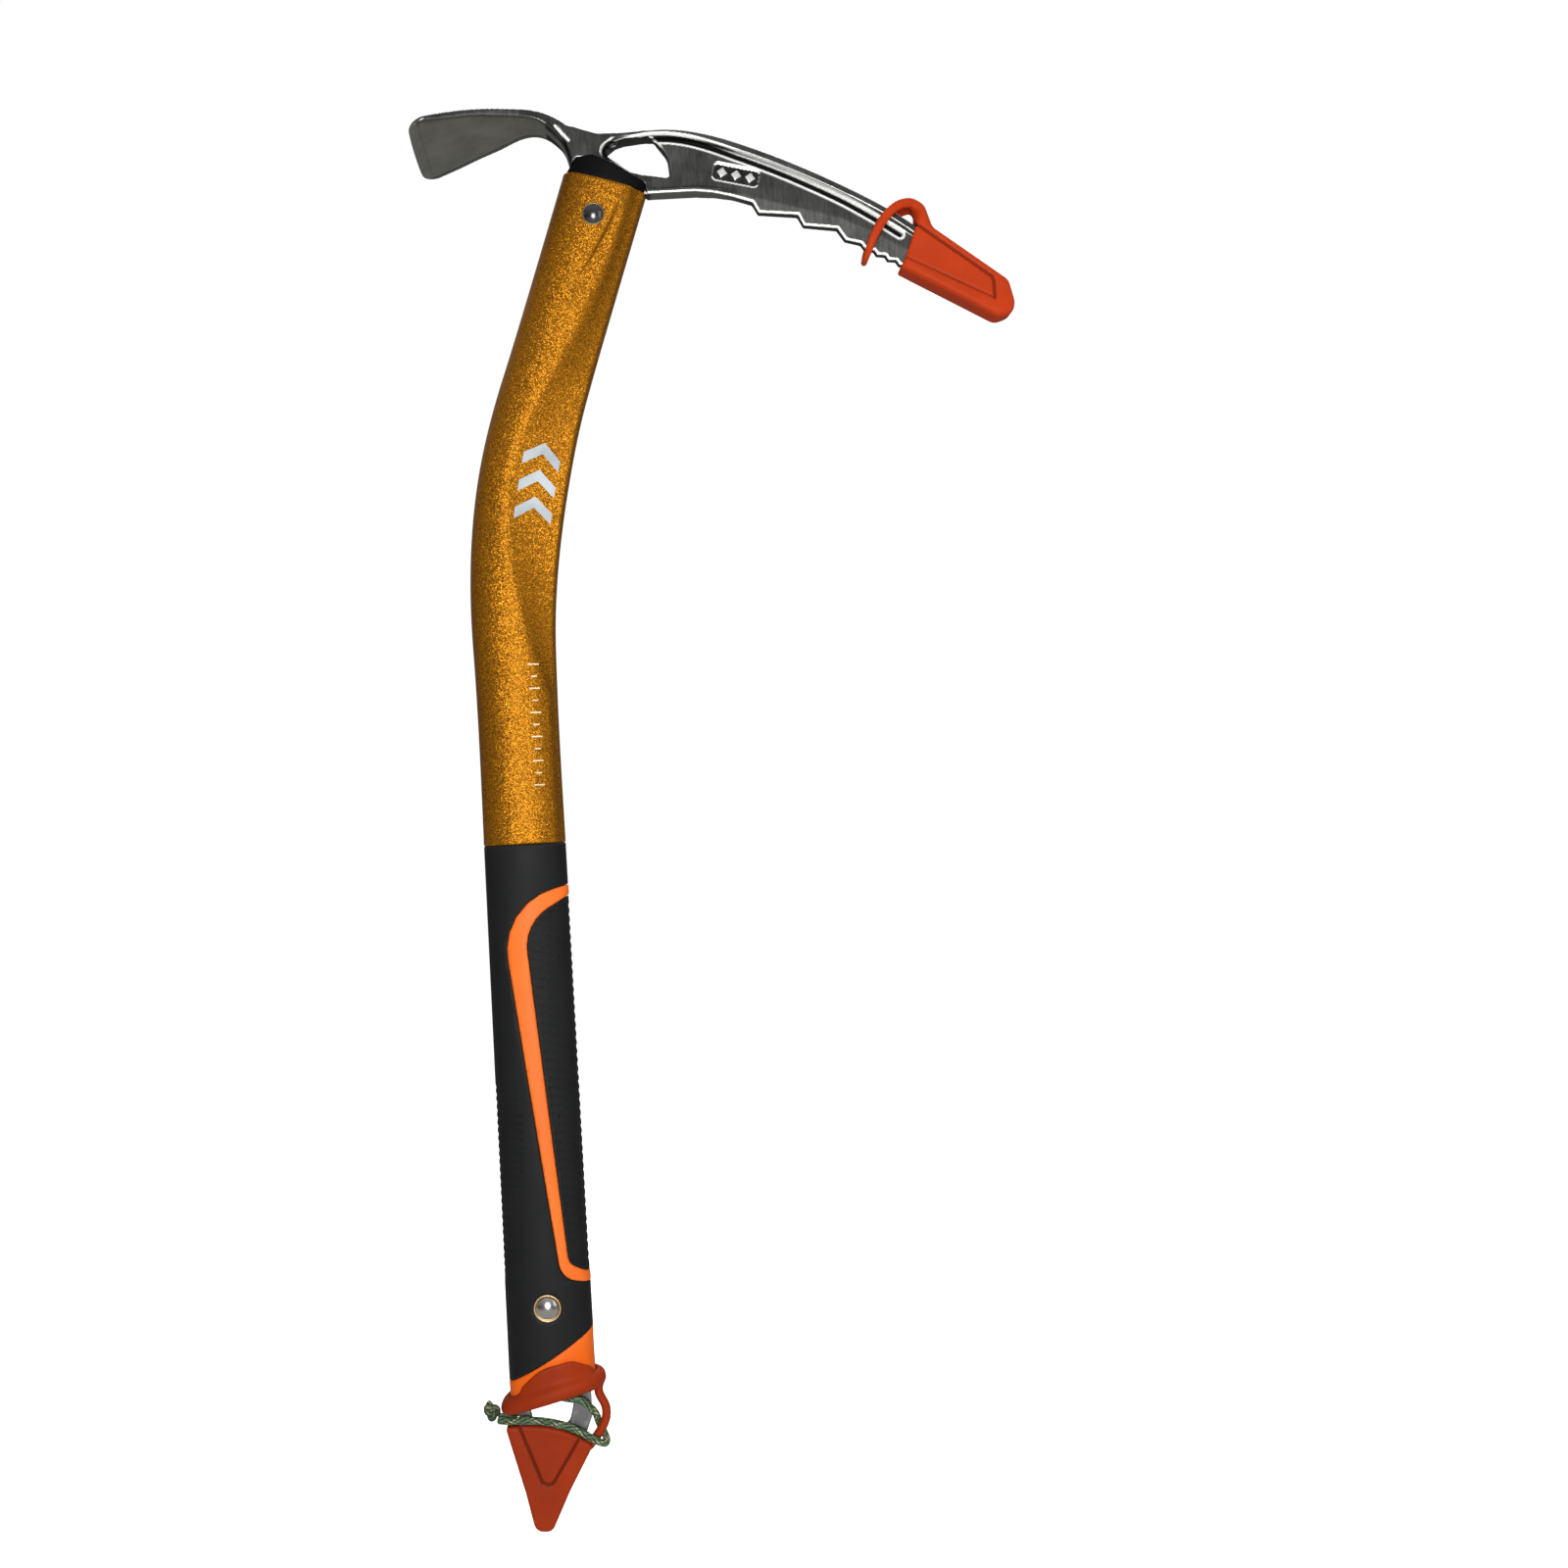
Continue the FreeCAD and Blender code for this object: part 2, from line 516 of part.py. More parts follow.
def pick_guard():
    """The rubber sheath on the pick's end, with the strap loop that goes round the pick behind it."""
    outside = slab(outline(GUARD_SIDE), GUARD_HALF_DEPTH)
    room = slab(outline(GUARD_ROOM), GUARD_ROOM_HALF_DEPTH)
    return single(outside.cut(room).fuse(pick_loop()).removeSplitter())


def pick_loop():
    """The strap: a round cord of rubber on a long oval path that leans back from the sheath's top corner."""
    low = V(PICK_LOOP_LOW[0], 0, PICK_LOOP_LOW[1])
    high = V(PICK_LOOP_HIGH[0], 0, PICK_LOOP_HIGH[1])
    lean = (high - low).normalize()
    side = V(0, PICK_LOOP_HALF_DEPTH, 0)
    start = low + lean * PICK_LOOP_HALF_DEPTH
    finish = high - lean * PICK_LOOP_HALF_DEPTH
    path = Part.Wire([Part.makeLine(start - side, finish - side),
                      Part.Arc(finish - side, high, finish + side).toShape(),
                      Part.makeLine(finish + side, start + side),
                      Part.Arc(start + side, low, start - side).toShape()])
    section = Part.Wire(Part.makeCircle(PICK_LOOP_RADIUS, start - side, lean))
    return path.makePipeShell([section], True, False)


def ring_band():
    """Side outline of the ring: it slants with the grip's end and arches over the flat sides."""
    half = RING_HALF_WIDTH

    def middle(x):
        return RING_MID_Z + RING_SLOPE * (x - RING_MID_X) + RING_SADDLE * (1 - (x / half) ** 2)

    low, high = [[V(x, 0, middle(x) + shift) for x in (-half, 0, half)]
                 for shift in (-RING_HALF_HEIGHT, RING_HALF_HEIGHT)]
    return Part.Wire([Part.Arc(*low).toShape(), Part.makeLine(low[-1], high[-1]),
                      Part.Arc(*high[::-1]).toShape(), Part.makeLine(high[0], low[0])])


def grip_sized_oval(extra):
    """A straight oval as large as the grip's end, plus a margin all round."""
    size = (GRIP_END_HALF_WIDTH, GRIP_END_HALF_DEPTH)
    return straight_oval(-PAST, PAST, size, size, -extra)


def spike_ring():
    """The ring round the grip's end with its flap on both flat sides."""
    hole = grip_sized_oval(CLEARANCE)
    ring = slab(ring_band(), PAST).common(grip_sized_oval(RING_THICKNESS)).cut(hole)
    flap = slab(outline(FLAP_SIDE), PAST).common(grip_sized_oval(CLEARANCE + FLAP_THICKNESS)).cut(hole)
    return single(ring.fuse(flap.Solids))


def spike_strap():
    """The side strap that joins ring and sheath."""
    curve = spline(STRAP_LINE)
    start = curve.FirstParameter
    section = Part.Wire(Part.makeCircle(STRAP_RADIUS, curve.value(start), curve.tangent(start)[0]))
    return Part.Wire([curve.toShape()]).makePipeShell([section], True, False)


def spike_guard():
    """Ring, strap and sheath in one moulding, with room for the plate."""
    sheath = slab(outline(SHEATH_SIDE), SHEATH_HALF_DEPTH)
    sheath = single(sheath.cut(slab(outline(SHEATH_ROOM), SHEATH_ROOM_HALF_DEPTH)))
    body = sheath.fuse([spike_strap(), spike_ring()])
    return single(body.cut(slab(outline(PLATE_WAY), SHEATH_ROOM_HALF_DEPTH)))


# ---------------------------------------------------------------- tether

def cord():
    """The tether: straight runs joined by tangent arcs, swept by the cord's round section."""
    points = [V(*p) for p in CORD_ROUTE]
    edges = []
    start = points[0]
    length = 0.0
    radii = []
    for before, here, after in zip(points, points[1:], points[2:]):
        back = (before - here).normalize()
        ahead = (after - here).normalize()
        half_turn = (math.pi - back.getAngle(ahead)) / 2
        shorter = min((before - here).Length, (after - here).Length)
        radius = CORD_ARC_SHARE * shorter / math.tan(half_turn)
        reach = radius * math.tan(half_turn)
        first = here + back * reach
        last = here + ahead * reach
        middle = here + (back + ahead).normalize() * (radius / math.cos(half_turn) - radius)
        edges.append(Part.makeLine(start, first))
        edges.append(Part.Arc(first, middle, last).toShape())
        length += (first - start).Length + radius * 2 * half_turn
        radii.append(radius)
        start = last
    edges.append(Part.makeLine(start, points[-1]))
    length += (points[-1] - start).Length
    path = Part.Wire(edges)
    section = Part.Wire(Part.makeCircle(CORD_RADIUS, points[0], points[1] - points[0]))
    tube = path.makePipeShell([section], True, False, 2)
    print("cord radii", [round(r, 1) for r in radii])
    print("cord length %.1f, volume %.0f, section times length %.0f" % (
        length, tube.Volume, math.pi * CORD_RADIUS ** 2 * length))
    return tube


def knot():
    """The knot's outer shape."""
    ball = Part.makeSphere(1.0)
    stretch = FreeCAD.Matrix()
    stretch.scale(*KNOT_HALF)
    shape = ball.transformGeometry(stretch)
    shape.translate(V(*KNOT_CENTRE))
    return shape


# ---------------------------------------------------------------- all pieces

def main():
    os.makedirs("parts", exist_ok=True)
    rivet_place = head_rivet_place()
    spike_rivet_place = V(0, 0, SPIKE_RIVET_Z)
    head_shape = head()
    spike_shape = spike()
    base, cover, pad = grip_pieces()
    head_seat = SHAFT_HALF_DEPTH + WASHER_PROUD
    save(head_shape, "head")
    save(head_spacer(head_shape), "head_spacer")
    save(shaft(), "shaft")
    save(rivet(rivet_place, HEAD_SHANK, HEAD_RIVET_DOME, head_seat), "head_rivet")
    save(ring_pair(rivet_place, HEAD_WASHER_RADIUS, HEAD_SHANK, head_seat - WASHER_THICKNESS),
         "head_rivet_washers")
    save(base, "grip_base")
    save(cover, "grip_cover")
    save(pad, "grip_pad")
    save(spike_shape, "spike")
    save(spike_plug(spike_shape), "spike_plug")
    seat = washer_inner_face() + WASHER_THICKNESS
    save(rivet(spike_rivet_place, SPIKE_SHANK, SPIKE_RIVET_DOME, seat), "spike_rivet")
    save(ring_pair(spike_rivet_place, WASHER_RADIUS, SPIKE_SHANK, washer_inner_face()), "spike_rivet_washers")
    save(pick_guard(), "pick_guard")
    save(spike_guard(), "spike_guard")
    save(cord(), "tether_cord")
    save(knot(), "tether_knot")


main()
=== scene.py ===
"""Looks of the ice axe: forged head, anodised shaft, moulded grip, rubber guards, braided tether.

Outlines are in millimetres in the shaft's frame: x from the grip's axis towards the pick, y across the axe,
z up the grip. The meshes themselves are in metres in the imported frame, whose origin is the middle of the eye.
"""
import math

import bpy
import numpy as np
import openvdb
from mathutils import Matrix, Vector


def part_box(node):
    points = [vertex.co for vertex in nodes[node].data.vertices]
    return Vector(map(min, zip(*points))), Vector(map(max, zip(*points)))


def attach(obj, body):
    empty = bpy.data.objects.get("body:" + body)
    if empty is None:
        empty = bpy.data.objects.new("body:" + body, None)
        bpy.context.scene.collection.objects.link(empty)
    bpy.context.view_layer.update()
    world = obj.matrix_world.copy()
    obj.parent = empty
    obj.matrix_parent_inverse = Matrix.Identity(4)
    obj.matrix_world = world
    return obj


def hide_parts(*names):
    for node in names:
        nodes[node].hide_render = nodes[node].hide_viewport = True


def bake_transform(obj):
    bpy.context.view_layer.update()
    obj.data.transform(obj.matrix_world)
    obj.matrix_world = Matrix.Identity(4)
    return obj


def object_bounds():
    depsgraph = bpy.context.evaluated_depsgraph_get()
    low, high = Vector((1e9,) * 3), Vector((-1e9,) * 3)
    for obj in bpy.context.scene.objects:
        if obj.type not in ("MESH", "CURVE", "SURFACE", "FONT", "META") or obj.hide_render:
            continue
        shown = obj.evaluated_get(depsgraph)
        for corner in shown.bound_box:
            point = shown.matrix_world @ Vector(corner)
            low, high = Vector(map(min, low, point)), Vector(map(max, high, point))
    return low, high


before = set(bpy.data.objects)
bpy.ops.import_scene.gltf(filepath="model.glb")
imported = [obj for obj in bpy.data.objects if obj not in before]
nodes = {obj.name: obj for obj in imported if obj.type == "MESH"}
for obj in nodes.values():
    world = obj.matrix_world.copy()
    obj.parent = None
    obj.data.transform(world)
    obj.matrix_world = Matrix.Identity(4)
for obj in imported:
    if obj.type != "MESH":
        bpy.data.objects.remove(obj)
cad_low, cad_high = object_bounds()

MM = 0.001
EYE = np.array((62.0, 0.0, 506.0))
STEP = 0.4
ROUNDNESS = 0.78


def placed(points):
    """Points of the shaft's frame in millimetres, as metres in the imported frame."""
    return (np.asarray(points, float) - EYE) * MM


def unplaced(point):
    """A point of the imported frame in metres, as millimetres in the shaft's frame."""
    return np.array(point) / MM + EYE


# ---------------------------------------------------------------- camera

CAMERA_PLACE = (-0.0188, -0.650, -0.2814)
CAMERA_ROLL = math.radians(3.0)


def camera():
    """Square to the axe's side, level, and turned a little about the line of sight."""
    data = bpy.data.cameras.new("camera")
    data.sensor_width = 36.0
    data.lens = 35.5
    data.shift_x = 0.1
    data.shift_y = 0.031
    data.clip_start = 0.01
    obj = bpy.data.objects.new("camera", data)
    right = Vector((math.cos(CAMERA_ROLL), 0.0, -math.sin(CAMERA_ROLL)))
    up = Vector((math.sin(CAMERA_ROLL), 0.0, math.cos(CAMERA_ROLL)))
    turn = Matrix((right, up, right.cross(up))).transposed().to_4x4()
    obj.matrix_world = Matrix.Translation(CAMERA_PLACE) @ turn
    bpy.context.scene.collection.objects.link(obj)
    bpy.context.scene.camera = obj


camera()

# ---------------------------------------------------------------- lines and outlines


def through(points, per=8):
    """A smooth line through the points: a natural cubic spline by chord length."""
    p = np.array(points, float)
    t = np.r_[0, np.cumsum(np.linalg.norm(np.diff(p, axis=0), axis=1))]
    h = np.diff(t)
    n = len(p)
    matrix = np.eye(n)
    right = np.zeros_like(p)
    for i in range(1, n - 1):
        matrix[i, i - 1:i + 2] = h[i - 1], 2 * (h[i - 1] + h[i]), h[i]
        right[i] = 6 * ((p[i + 1] - p[i]) / h[i] - (p[i] - p[i - 1]) / h[i - 1])
    m = np.linalg.solve(matrix, right)
    s = np.linspace(0, t[-1], per * (n - 1) + 1)
    k = np.clip(np.searchsorted(t, s, side="right") - 1, 0, n - 2)
    ahead = (s - t[k])[:, None]
    back = (t[k + 1] - s)[:, None]
    hk = h[k][:, None]
    bend = (m[k] * back ** 3 + m[k + 1] * ahead ** 3) / (6 * hk)
    return bend + (p[k] / hk - m[k] * hk / 6) * back + (p[k + 1] / hk - m[k + 1] * hk / 6) * ahead


def rounded(corners):
    """A closed outline through (x, z, radius) corners, each rounded by its radius."""
    made = []
    points = [np.array(c[:2], float) for c in corners]
    for i, (_, _, radius) in enumerate(corners):
        here = points[i]
        back = points[i - 1] - here
        ahead = points[(i + 1) % len(corners)] - here
        back /= np.linalg.norm(back)
        ahead /= np.linalg.norm(ahead)
        if radius <= 0:
            made.append(here)
            continue
        half = math.acos(np.clip(back @ ahead, -1, 1)) / 2
        middle = (back + ahead) / np.linalg.norm(back + ahead)
        centre = here + middle * radius / math.sin(half)
        first = here + back * radius / math.tan(half) - centre
        last = here + ahead * radius / math.tan(half) - centre
        for share in np.linspace(0, 1, 7):
            spoke = first * (1 - share) + last * share
            made.append(centre + spoke / np.linalg.norm(spoke) * radius)
    return np.array(made)


def smooth_step(low, high, value):
    t = np.clip((value - low) / (high - low), 0, 1)
    return t * t * (3 - 2 * t)


# ---------------------------------------------------------------- solids as distance fields


class Block:
    """A box of sample points on the common lattice, in the shaft's frame."""

    def __init__(self, low, high):
        self.first = [math.floor(v / STEP) for v in low]
        last = [math.ceil(v / STEP) for v in high]
        axes = [np.arange(a, b + 1, dtype=np.float32) * np.float32(STEP) for a, b in zip(self.first, last)]
        self.x = axes[0][:, None, None]
        self.y = axes[1][None, :, None]
        self.z = axes[2][None, None, :]


def segments(points, closed):
    ends = np.roll(points, -1, axis=0) if closed else points[1:]
    return zip(points, ends)


def polygon(px, pz, points):
    """Signed distance to a closed outline in a plane, negative inside."""
    px, pz = np.broadcast_arrays(px, pz)
    best = np.full(px.shape, 1e9, np.float32)
    inside = np.zeros(px.shape, bool)
    for (ax, az), (bx, bz) in segments(points, True):
        ex, ez = bx - ax, bz - az
        if ex * ex + ez * ez < 1e-12:
            continue
        wx, wz = px - ax, pz - az
        t = np.clip((wx * ex + wz * ez) / (ex * ex + ez * ez), 0, 1)
        best = np.minimum(best, (wx - ex * t) ** 2 + (wz - ez * t) ** 2)
        crosses = (az > pz) != (bz > pz)
        inside ^= crosses & ((wx * ez - wz * ex < 0) == (ez > 0))
    return np.where(inside, -1, 1) * np.sqrt(best)


def near_line(coords, points, radii=None):
    """Distance to an open line, less its radius there where radii are given."""
    shape = np.broadcast_shapes(*[c.shape for c in coords])
    best = np.full(shape, 1e9, np.float32)
    radii = np.zeros(len(points)) if radii is None else np.broadcast_to(radii, len(points))
    for (a, b), (ra, rb) in zip(segments(points, False), zip(radii, radii[1:])):
        e = b - a
        w = [c - v for c, v in zip(coords, a)]
        t = np.clip(sum(wi * ei for wi, ei in zip(w, e)) / (e @ e), 0, 1)
        gap = np.sqrt(sum((wi - ei * t) ** 2 for wi, ei in zip(w, e)))
        best = np.minimum(best, gap - (ra + (rb - ra) * t))
    return best


def both(a, b, radius=0.0):
    """What lies in both fields, its edge rounded."""
    if radius <= 0:
        return np.maximum(a, b)
    u, v = np.maximum(a + radius, 0), np.maximum(b + radius, 0)
    return np.minimum(np.maximum(a, b), -radius) + np.sqrt(u * u + v * v)


def joined(a, b, blend=0.0):
    """What lies in either field, with a fillet where they meet."""
    if blend <= 0:
        return np.minimum(a, b)
    h = np.maximum(blend - np.abs(a - b), 0) / blend
    return np.minimum(a, b) - h * h * blend / 4


def without(a, b, radius=0.0):
    return both(a, -b, radius)


def oval(px, py, half_width, half_depth):
    """Distance to the shaft's oval of four tangent arcs."""
    end = half_depth * ROUNDNESS
    flat = ((half_width - end) ** 2 + half_depth ** 2 - end ** 2) / (2 * (half_depth - end))
    u, v = np.abs(px), np.abs(py)
    side = (half_width - end) * (v - half_depth + flat) - (flat - half_depth) * u
    by_flat = np.sqrt(u * u + (v - half_depth + flat) ** 2) - flat
    by_end = np.sqrt((u - half_width + end) ** 2 + v * v) - end
    return np.where(side > 0, by_flat, by_end)


def volume(mesh):
    """Volume inside the mesh's faces, negative where they face inwards."""
    mesh.calc_loop_triangles()
    co = np.empty(len(mesh.vertices) * 3)
    mesh.vertices.foreach_get("co", co)
    tri = np.empty(len(mesh.loop_triangles) * 3, np.int32)
    mesh.loop_triangles.foreach_get("vertices", tri)
    a, b, c = co.reshape(-1, 3)[tri.reshape(-1, 3)].transpose(1, 0, 2)
    return float(np.einsum("ij,ij->i", a, np.cross(b, c)).sum() / 6)


def mesh_piece(name, points, faces, smooth=True):
    """A named object from points in millimetres of the shaft's frame, its faces turned outwards."""
    mesh = bpy.data.meshes.new(name)
    mesh.from_pydata(placed(points).tolist(), [], [list(map(int, f)) for f in faces])
    mesh.validate()
    if smooth:
        mesh.shade_smooth()
    if volume(mesh) < 0:
        mesh.flip_normals()
    obj = bpy.data.objects.new(name, mesh)
    bpy.context.scene.collection.objects.link(obj)
    return obj


def grid_faces(rows, cols, rows_close=False, cols_close=False):
    """Faces of a grid of points numbered row by row, closed on itself where it says so."""
    faces = []
    for row in range(rows if rows_close else rows - 1):
        here, there = row * cols, (row + 1) % rows * cols
        for i in range(cols if cols_close else cols - 1):
            j = (i + 1) % cols
            faces.append((here + i, here + j, there + j, there + i))
    return faces


def skin(name, parts, adaptivity=0.0):
    """The surface of distance fields given as (block, field) pairs."""
    grid = openvdb.FloatGrid(3 * STEP)
    for block, field in parts:
        grid.copyFromArray(np.ascontiguousarray(field, np.float32), ijk=tuple(block.first))
    points, triangles, quads = grid.convertToPolygons(0.0, adaptivity)
    return mesh_piece(name, points * STEP, [f[::-1] for f in quads.tolist() + triangles.tolist()])


# ---------------------------------------------------------------- materials


class Nodes:
    """Short calls for building one material's node tree."""

    def __init__(self, name):
        self.material = bpy.data.materials.new(name)
        self.material.use_nodes = True
        self.tree = self.material.node_tree
        self.shader = self.tree.nodes["Principled BSDF"]
        self.coords = self.add("ShaderNodeTexCoord").outputs["Object"]

    def add(self, kind, inputs=None, **settings):
        node = self.tree.nodes.new(kind)
        for key, value in settings.items():
            setattr(node, key, value)
        for key, value in (inputs or {}).items():
            self.set(node.inputs[key], value)
        return node

    def set(self, socket, value):
        if isinstance(value, bpy.types.NodeSocket):
            self.tree.links.new(value, socket)
        else:
            socket.default_value = value

    def noise(self, scale, detail=3.0, coords=None):
        inputs = {"Vector": coords or self.coords, "Scale": scale, "Detail": detail}
        return self.add("ShaderNodeTexNoise", inputs).outputs["Fac"]

    def painted(self, name):
        return self.add("ShaderNodeAttribute", attribute_name=name).outputs["Fac"]

    def pointed(self, low, high, most):
        """How far an edge sticks out, up to most."""
        return self.span(self.add("ShaderNodeNewGeometry").outputs["Pointiness"], low, high, 0.0, most)

    def stretch(self, factors, rotation):
        node = self.add("ShaderNodeMapping", {"Vector": self.coords, "Scale": factors, "Rotation": rotation})
        return node.outputs["Vector"]

    def span(self, value, low, high, to_low=0.0, to_high=1.0):
        node = self.add("ShaderNodeMapRange", {"Value": value, "From Min": low, "From Max": high,
                                               "To Min": to_low, "To Max": to_high})
        return node.outputs["Result"]

    def maths(self, operation, a, b, kind="ShaderNodeMath"):
        node = self.add(kind, operation=operation)
        self.set(node.inputs[0], a)
        self.set(node.inputs[1], b)
        return node.outputs[0]

    def vector(self, operation, a, b=(0.0, 0.0, 0.0)):
        return self.maths(operation, a, b, "ShaderNodeVectorMath")

    def mix(self, share, a, b):
        node = self.add("ShaderNodeMix", data_type="RGBA")
        self.set(node.inputs[0], share)
        self.set(node.inputs[6], a)
        self.set(node.inputs[7], b)
        return node.outputs[2]

    def bump(self, height, distance, strength):
        inputs = {"Height": height, "Distance": distance, "Strength": strength}
        return self.add("ShaderNodeBump", inputs).outputs["Normal"]

    def finish(self, **sockets):
        for key, value in sockets.items():
            self.set(self.shader.inputs[key.replace("_", " ")], value)
        return self.material


def srgb(red, green, blue):
    """A colour from its eight bit screen values."""
    def linear(c):
        c /= 255
        return c / 12.92 if c <= 0.04045 else ((c + 0.055) / 1.055) ** 2.4
    return linear(red), linear(green), linear(blue), 1.0


def shaded(colour, factor):
    return tuple(min(1.0, c * factor) for c in colour[:3]) + (1.0,)


# Near black, the colour of painted shade on steel.
PAINTED_SHADE_BLACK = (0.006, 0.006, 0.006, 1.0)
SCALE_DARK = (0.115, 0.115, 0.1, 1.0)
SCALE_LIGHT = (0.155, 0.155, 0.14, 1.0)


def steel(name, flat, bright, flat_rough):
    """Satin forged steel: painted highlights, near white, on convex edges and where a piece marks them; painted
    shade, near black, where a piece marks it; matt and grey under forging scale.
    """
    n = Nodes(name)
    painted_shade, scale = n.painted("painted_shade"), n.painted("scale")
    # Painted highlight: convex edges and the marked highlight lines turn the steel near white and less
    # metallic.
    edge = n.maths("MAXIMUM", n.pointed(0.51, 0.56, 0.28), n.painted("painted_highlight"))
    cloud = n.noise(90.0, 4.0)
    patches = n.span(cloud, 0.35, 0.65)
    brushed = n.noise(900.0, 2.0, n.stretch((1.0, 1.0, 0.18), (0.0, math.radians(20), 0.0)))
    body = n.mix(patches, shaded(flat, 0.8), flat)
    body = n.mix(n.maths("MULTIPLY", brushed, 0.1), body, bright)
    tone = n.mix(scale, n.mix(edge, body, bright), n.mix(patches, SCALE_DARK, SCALE_LIGHT))
    dull = n.maths("MULTIPLY", n.maths("MAXIMUM", painted_shade, scale), 0.25)
    rough = n.maths("ADD", n.span(cloud, 0.3, 0.7, flat_rough - 0.05, flat_rough + 0.05),
                    n.maths("ADD", n.maths("MULTIPLY", edge, -0.05), dull))
    metal = n.maths("SUBTRACT", 1.0, n.maths("MAXIMUM", n.maths("MULTIPLY", edge, 0.85), scale))
    shine = n.maths("SUBTRACT", 0.5, n.maths("MULTIPLY", scale, 0.4))
    height = n.maths("ADD", n.noise(5000.0, 2.0), n.maths("MULTIPLY", brushed, 0.5))
    # Painted shade: the marked shade turns the colour near black.
    return n.finish(Base_Color=n.mix(painted_shade, tone, PAINTED_SHADE_BLACK), Metallic=metal, Roughness=rough,
                    Specular_IOR_Level=shine, Normal=n.bump(height, 0.00003, 0.25))


def anodised(name):
    """Gold anodised tube: a blasted surface whose grains each catch the light by themselves."""
    n = Nodes(name)
    cells = n.add("ShaderNodeTexVoronoi", {"Vector": n.coords, "Scale": 2900.0}).outputs["Color"]
    lean = n.vector("MULTIPLY", n.vector("SUBTRACT", cells, (0.5, 0.5, 0.5)), (0.55, 0.55, 0.55))
    flat = n.add("ShaderNodeNewGeometry").outputs["Normal"]
    grain = n.noise(2200.0, 3.0)
    tone = n.mix(n.span(grain, 0.35, 0.65), srgb(112, 66, 4), srgb(192, 126, 14))
    tone = n.mix(n.span(n.noise(35.0, 3.0), 0.3, 0.7, 0.0, 0.25), tone, srgb(134, 82, 6))
    return n.finish(Base_Color=tone, Metallic=0.85, Roughness=n.span(grain, 0.3, 0.7, 0.36, 0.46),
                    Normal=n.vector("NORMALIZE", n.vector("ADD", flat, lean)))


def rubber(name, colour, rough, grain_scale=2500.0, grain_height=0.00003, spread=0.18, edge_highlight=None, shine=0.5,
           low=None):
    """Moulded rubber: a fine matt grain, slow changes of tone, paler convex edges as painted highlight,
    near-black painted shade where a piece marks it, and another tone below a set height.
    """
    n = Nodes(name)
    cloud = n.noise(60.0, 4.0)
    tone = n.mix(n.span(cloud, 0.35, 0.65), shaded(colour, 1 - spread), shaded(colour, 1 + spread))
    # Painted highlight: a paler colour on convex edges.
    if edge_highlight is not None:
        tone = n.mix(n.pointed(0.52, 0.62, 0.5), tone, edge_highlight)
    # Painted shade: darker where a piece marks it.
    tone = n.mix(n.painted("painted_shade"), tone, shaded(colour, 0.25))
    # Below a set height the tone turns to the colour low.
    if low is not None:
        height = n.add("ShaderNodeSeparateXYZ", {"Vector": n.coords}).outputs["Z"]
        tone = n.mix(n.span(height, -0.500, -0.480), low, tone)
    return n.finish(Base_Color=tone, Roughness=n.span(cloud, 0.3, 0.7, rough - 0.05, rough + 0.05),
                    Specular_IOR_Level=shine, Normal=n.bump(n.noise(grain_scale), grain_height, 0.5))


STEEL_FLAT = (0.036, 0.036, 0.033, 1.0)
# STEEL_BRIGHT is the near white of the painted highlights; a little of it also lightens the brushed streaks.
STEEL_BRIGHT = (0.92, 0.92, 0.9, 1.0)
head_steel = steel("forged_steel", STEEL_FLAT, STEEL_BRIGHT, 0.3)
spike_steel = steel("stainless_steel", (0.12, 0.12, 0.125, 1.0), STEEL_BRIGHT, 0.38)
dark_rivet = steel("rivet_steel", (0.1, 0.1, 0.1, 1.0), (0.35, 0.35, 0.34, 1.0), 0.25)
bright_rivet = steel("rivet_bright", (0.45, 0.44, 0.42, 1.0), (0.8, 0.8, 0.78, 1.0), 0.22)
washer_dark = steel("washer_blackened", (0.09, 0.06, 0.03, 1.0), (0.45, 0.33, 0.18, 1.0), 0.4)
washer_tan = steel("washer_brass", (0.42, 0.28, 0.14, 1.0), (0.75, 0.58, 0.38, 1.0), 0.42)
gold = anodised("gold_anodised")
black_plastic = rubber("black_plastic", srgb(4, 4, 6), 0.6, 1800.0, 0.00001, shine=0.1)
black_rubber = rubber("black_rubber", srgb(13, 14, 15), 0.66, edge_highlight=srgb(42, 44, 45), shine=0.24)
# The grip's orange turns darker towards the bottom.
stripe_rubber = rubber("orange_rubber", srgb(236, 110, 36), 0.5, spread=0.08, shine=0.2, low=srgb(222, 94, 6))
guard_orange = rubber("guard_orange", srgb(176, 52, 8), 0.55, spread=0.07, edge_highlight=srgb(206, 78, 34), shine=0.12)
# The same guard rubber, darkened as painted shade for the spike guard.
guard_red = rubber("guard_red", srgb(142, 43, 8), 0.58, spread=0.1, edge_highlight=srgb(162, 58, 22), shine=0.12)


def dress(obj, material):
    obj.data.materials.clear()
    obj.data.materials.append(material)
    return obj


def finished(obj, material, slot, body, *replaced):
    """Gives a new piece its finish and its body, and hides the CAD nodes it stands for."""
    dress(obj, material)
    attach(obj, body)
    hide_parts(*replaced)
    return obj


# ---------------------------------------------------------------- shaft

BEND_START = 305.0
BEND_RADIUS = 322.0
BEND_ANGLE = math.radians(19.4)
UPPER_RUN = 90.5
SHAFT_LENGTH = BEND_START + BEND_RADIUS * BEND_ANGLE + UPPER_RUN
SHAFT_HALF_DEPTH = 11.0
WALL = 1.6
SHAFT_WIDTHS = [(222.0, 17.2), (300.0, 17.3), (340.0, 18.5), (380.0, 19.0), (415.0, 18.2), (445.0, 17.9),
                (SHAFT_LENGTH, 17.9)]
CORE_HALF = (15.0, 8.8)
GRIP_TOP = 222.0
FLAT_STEPS = 52
END_STEPS = 12
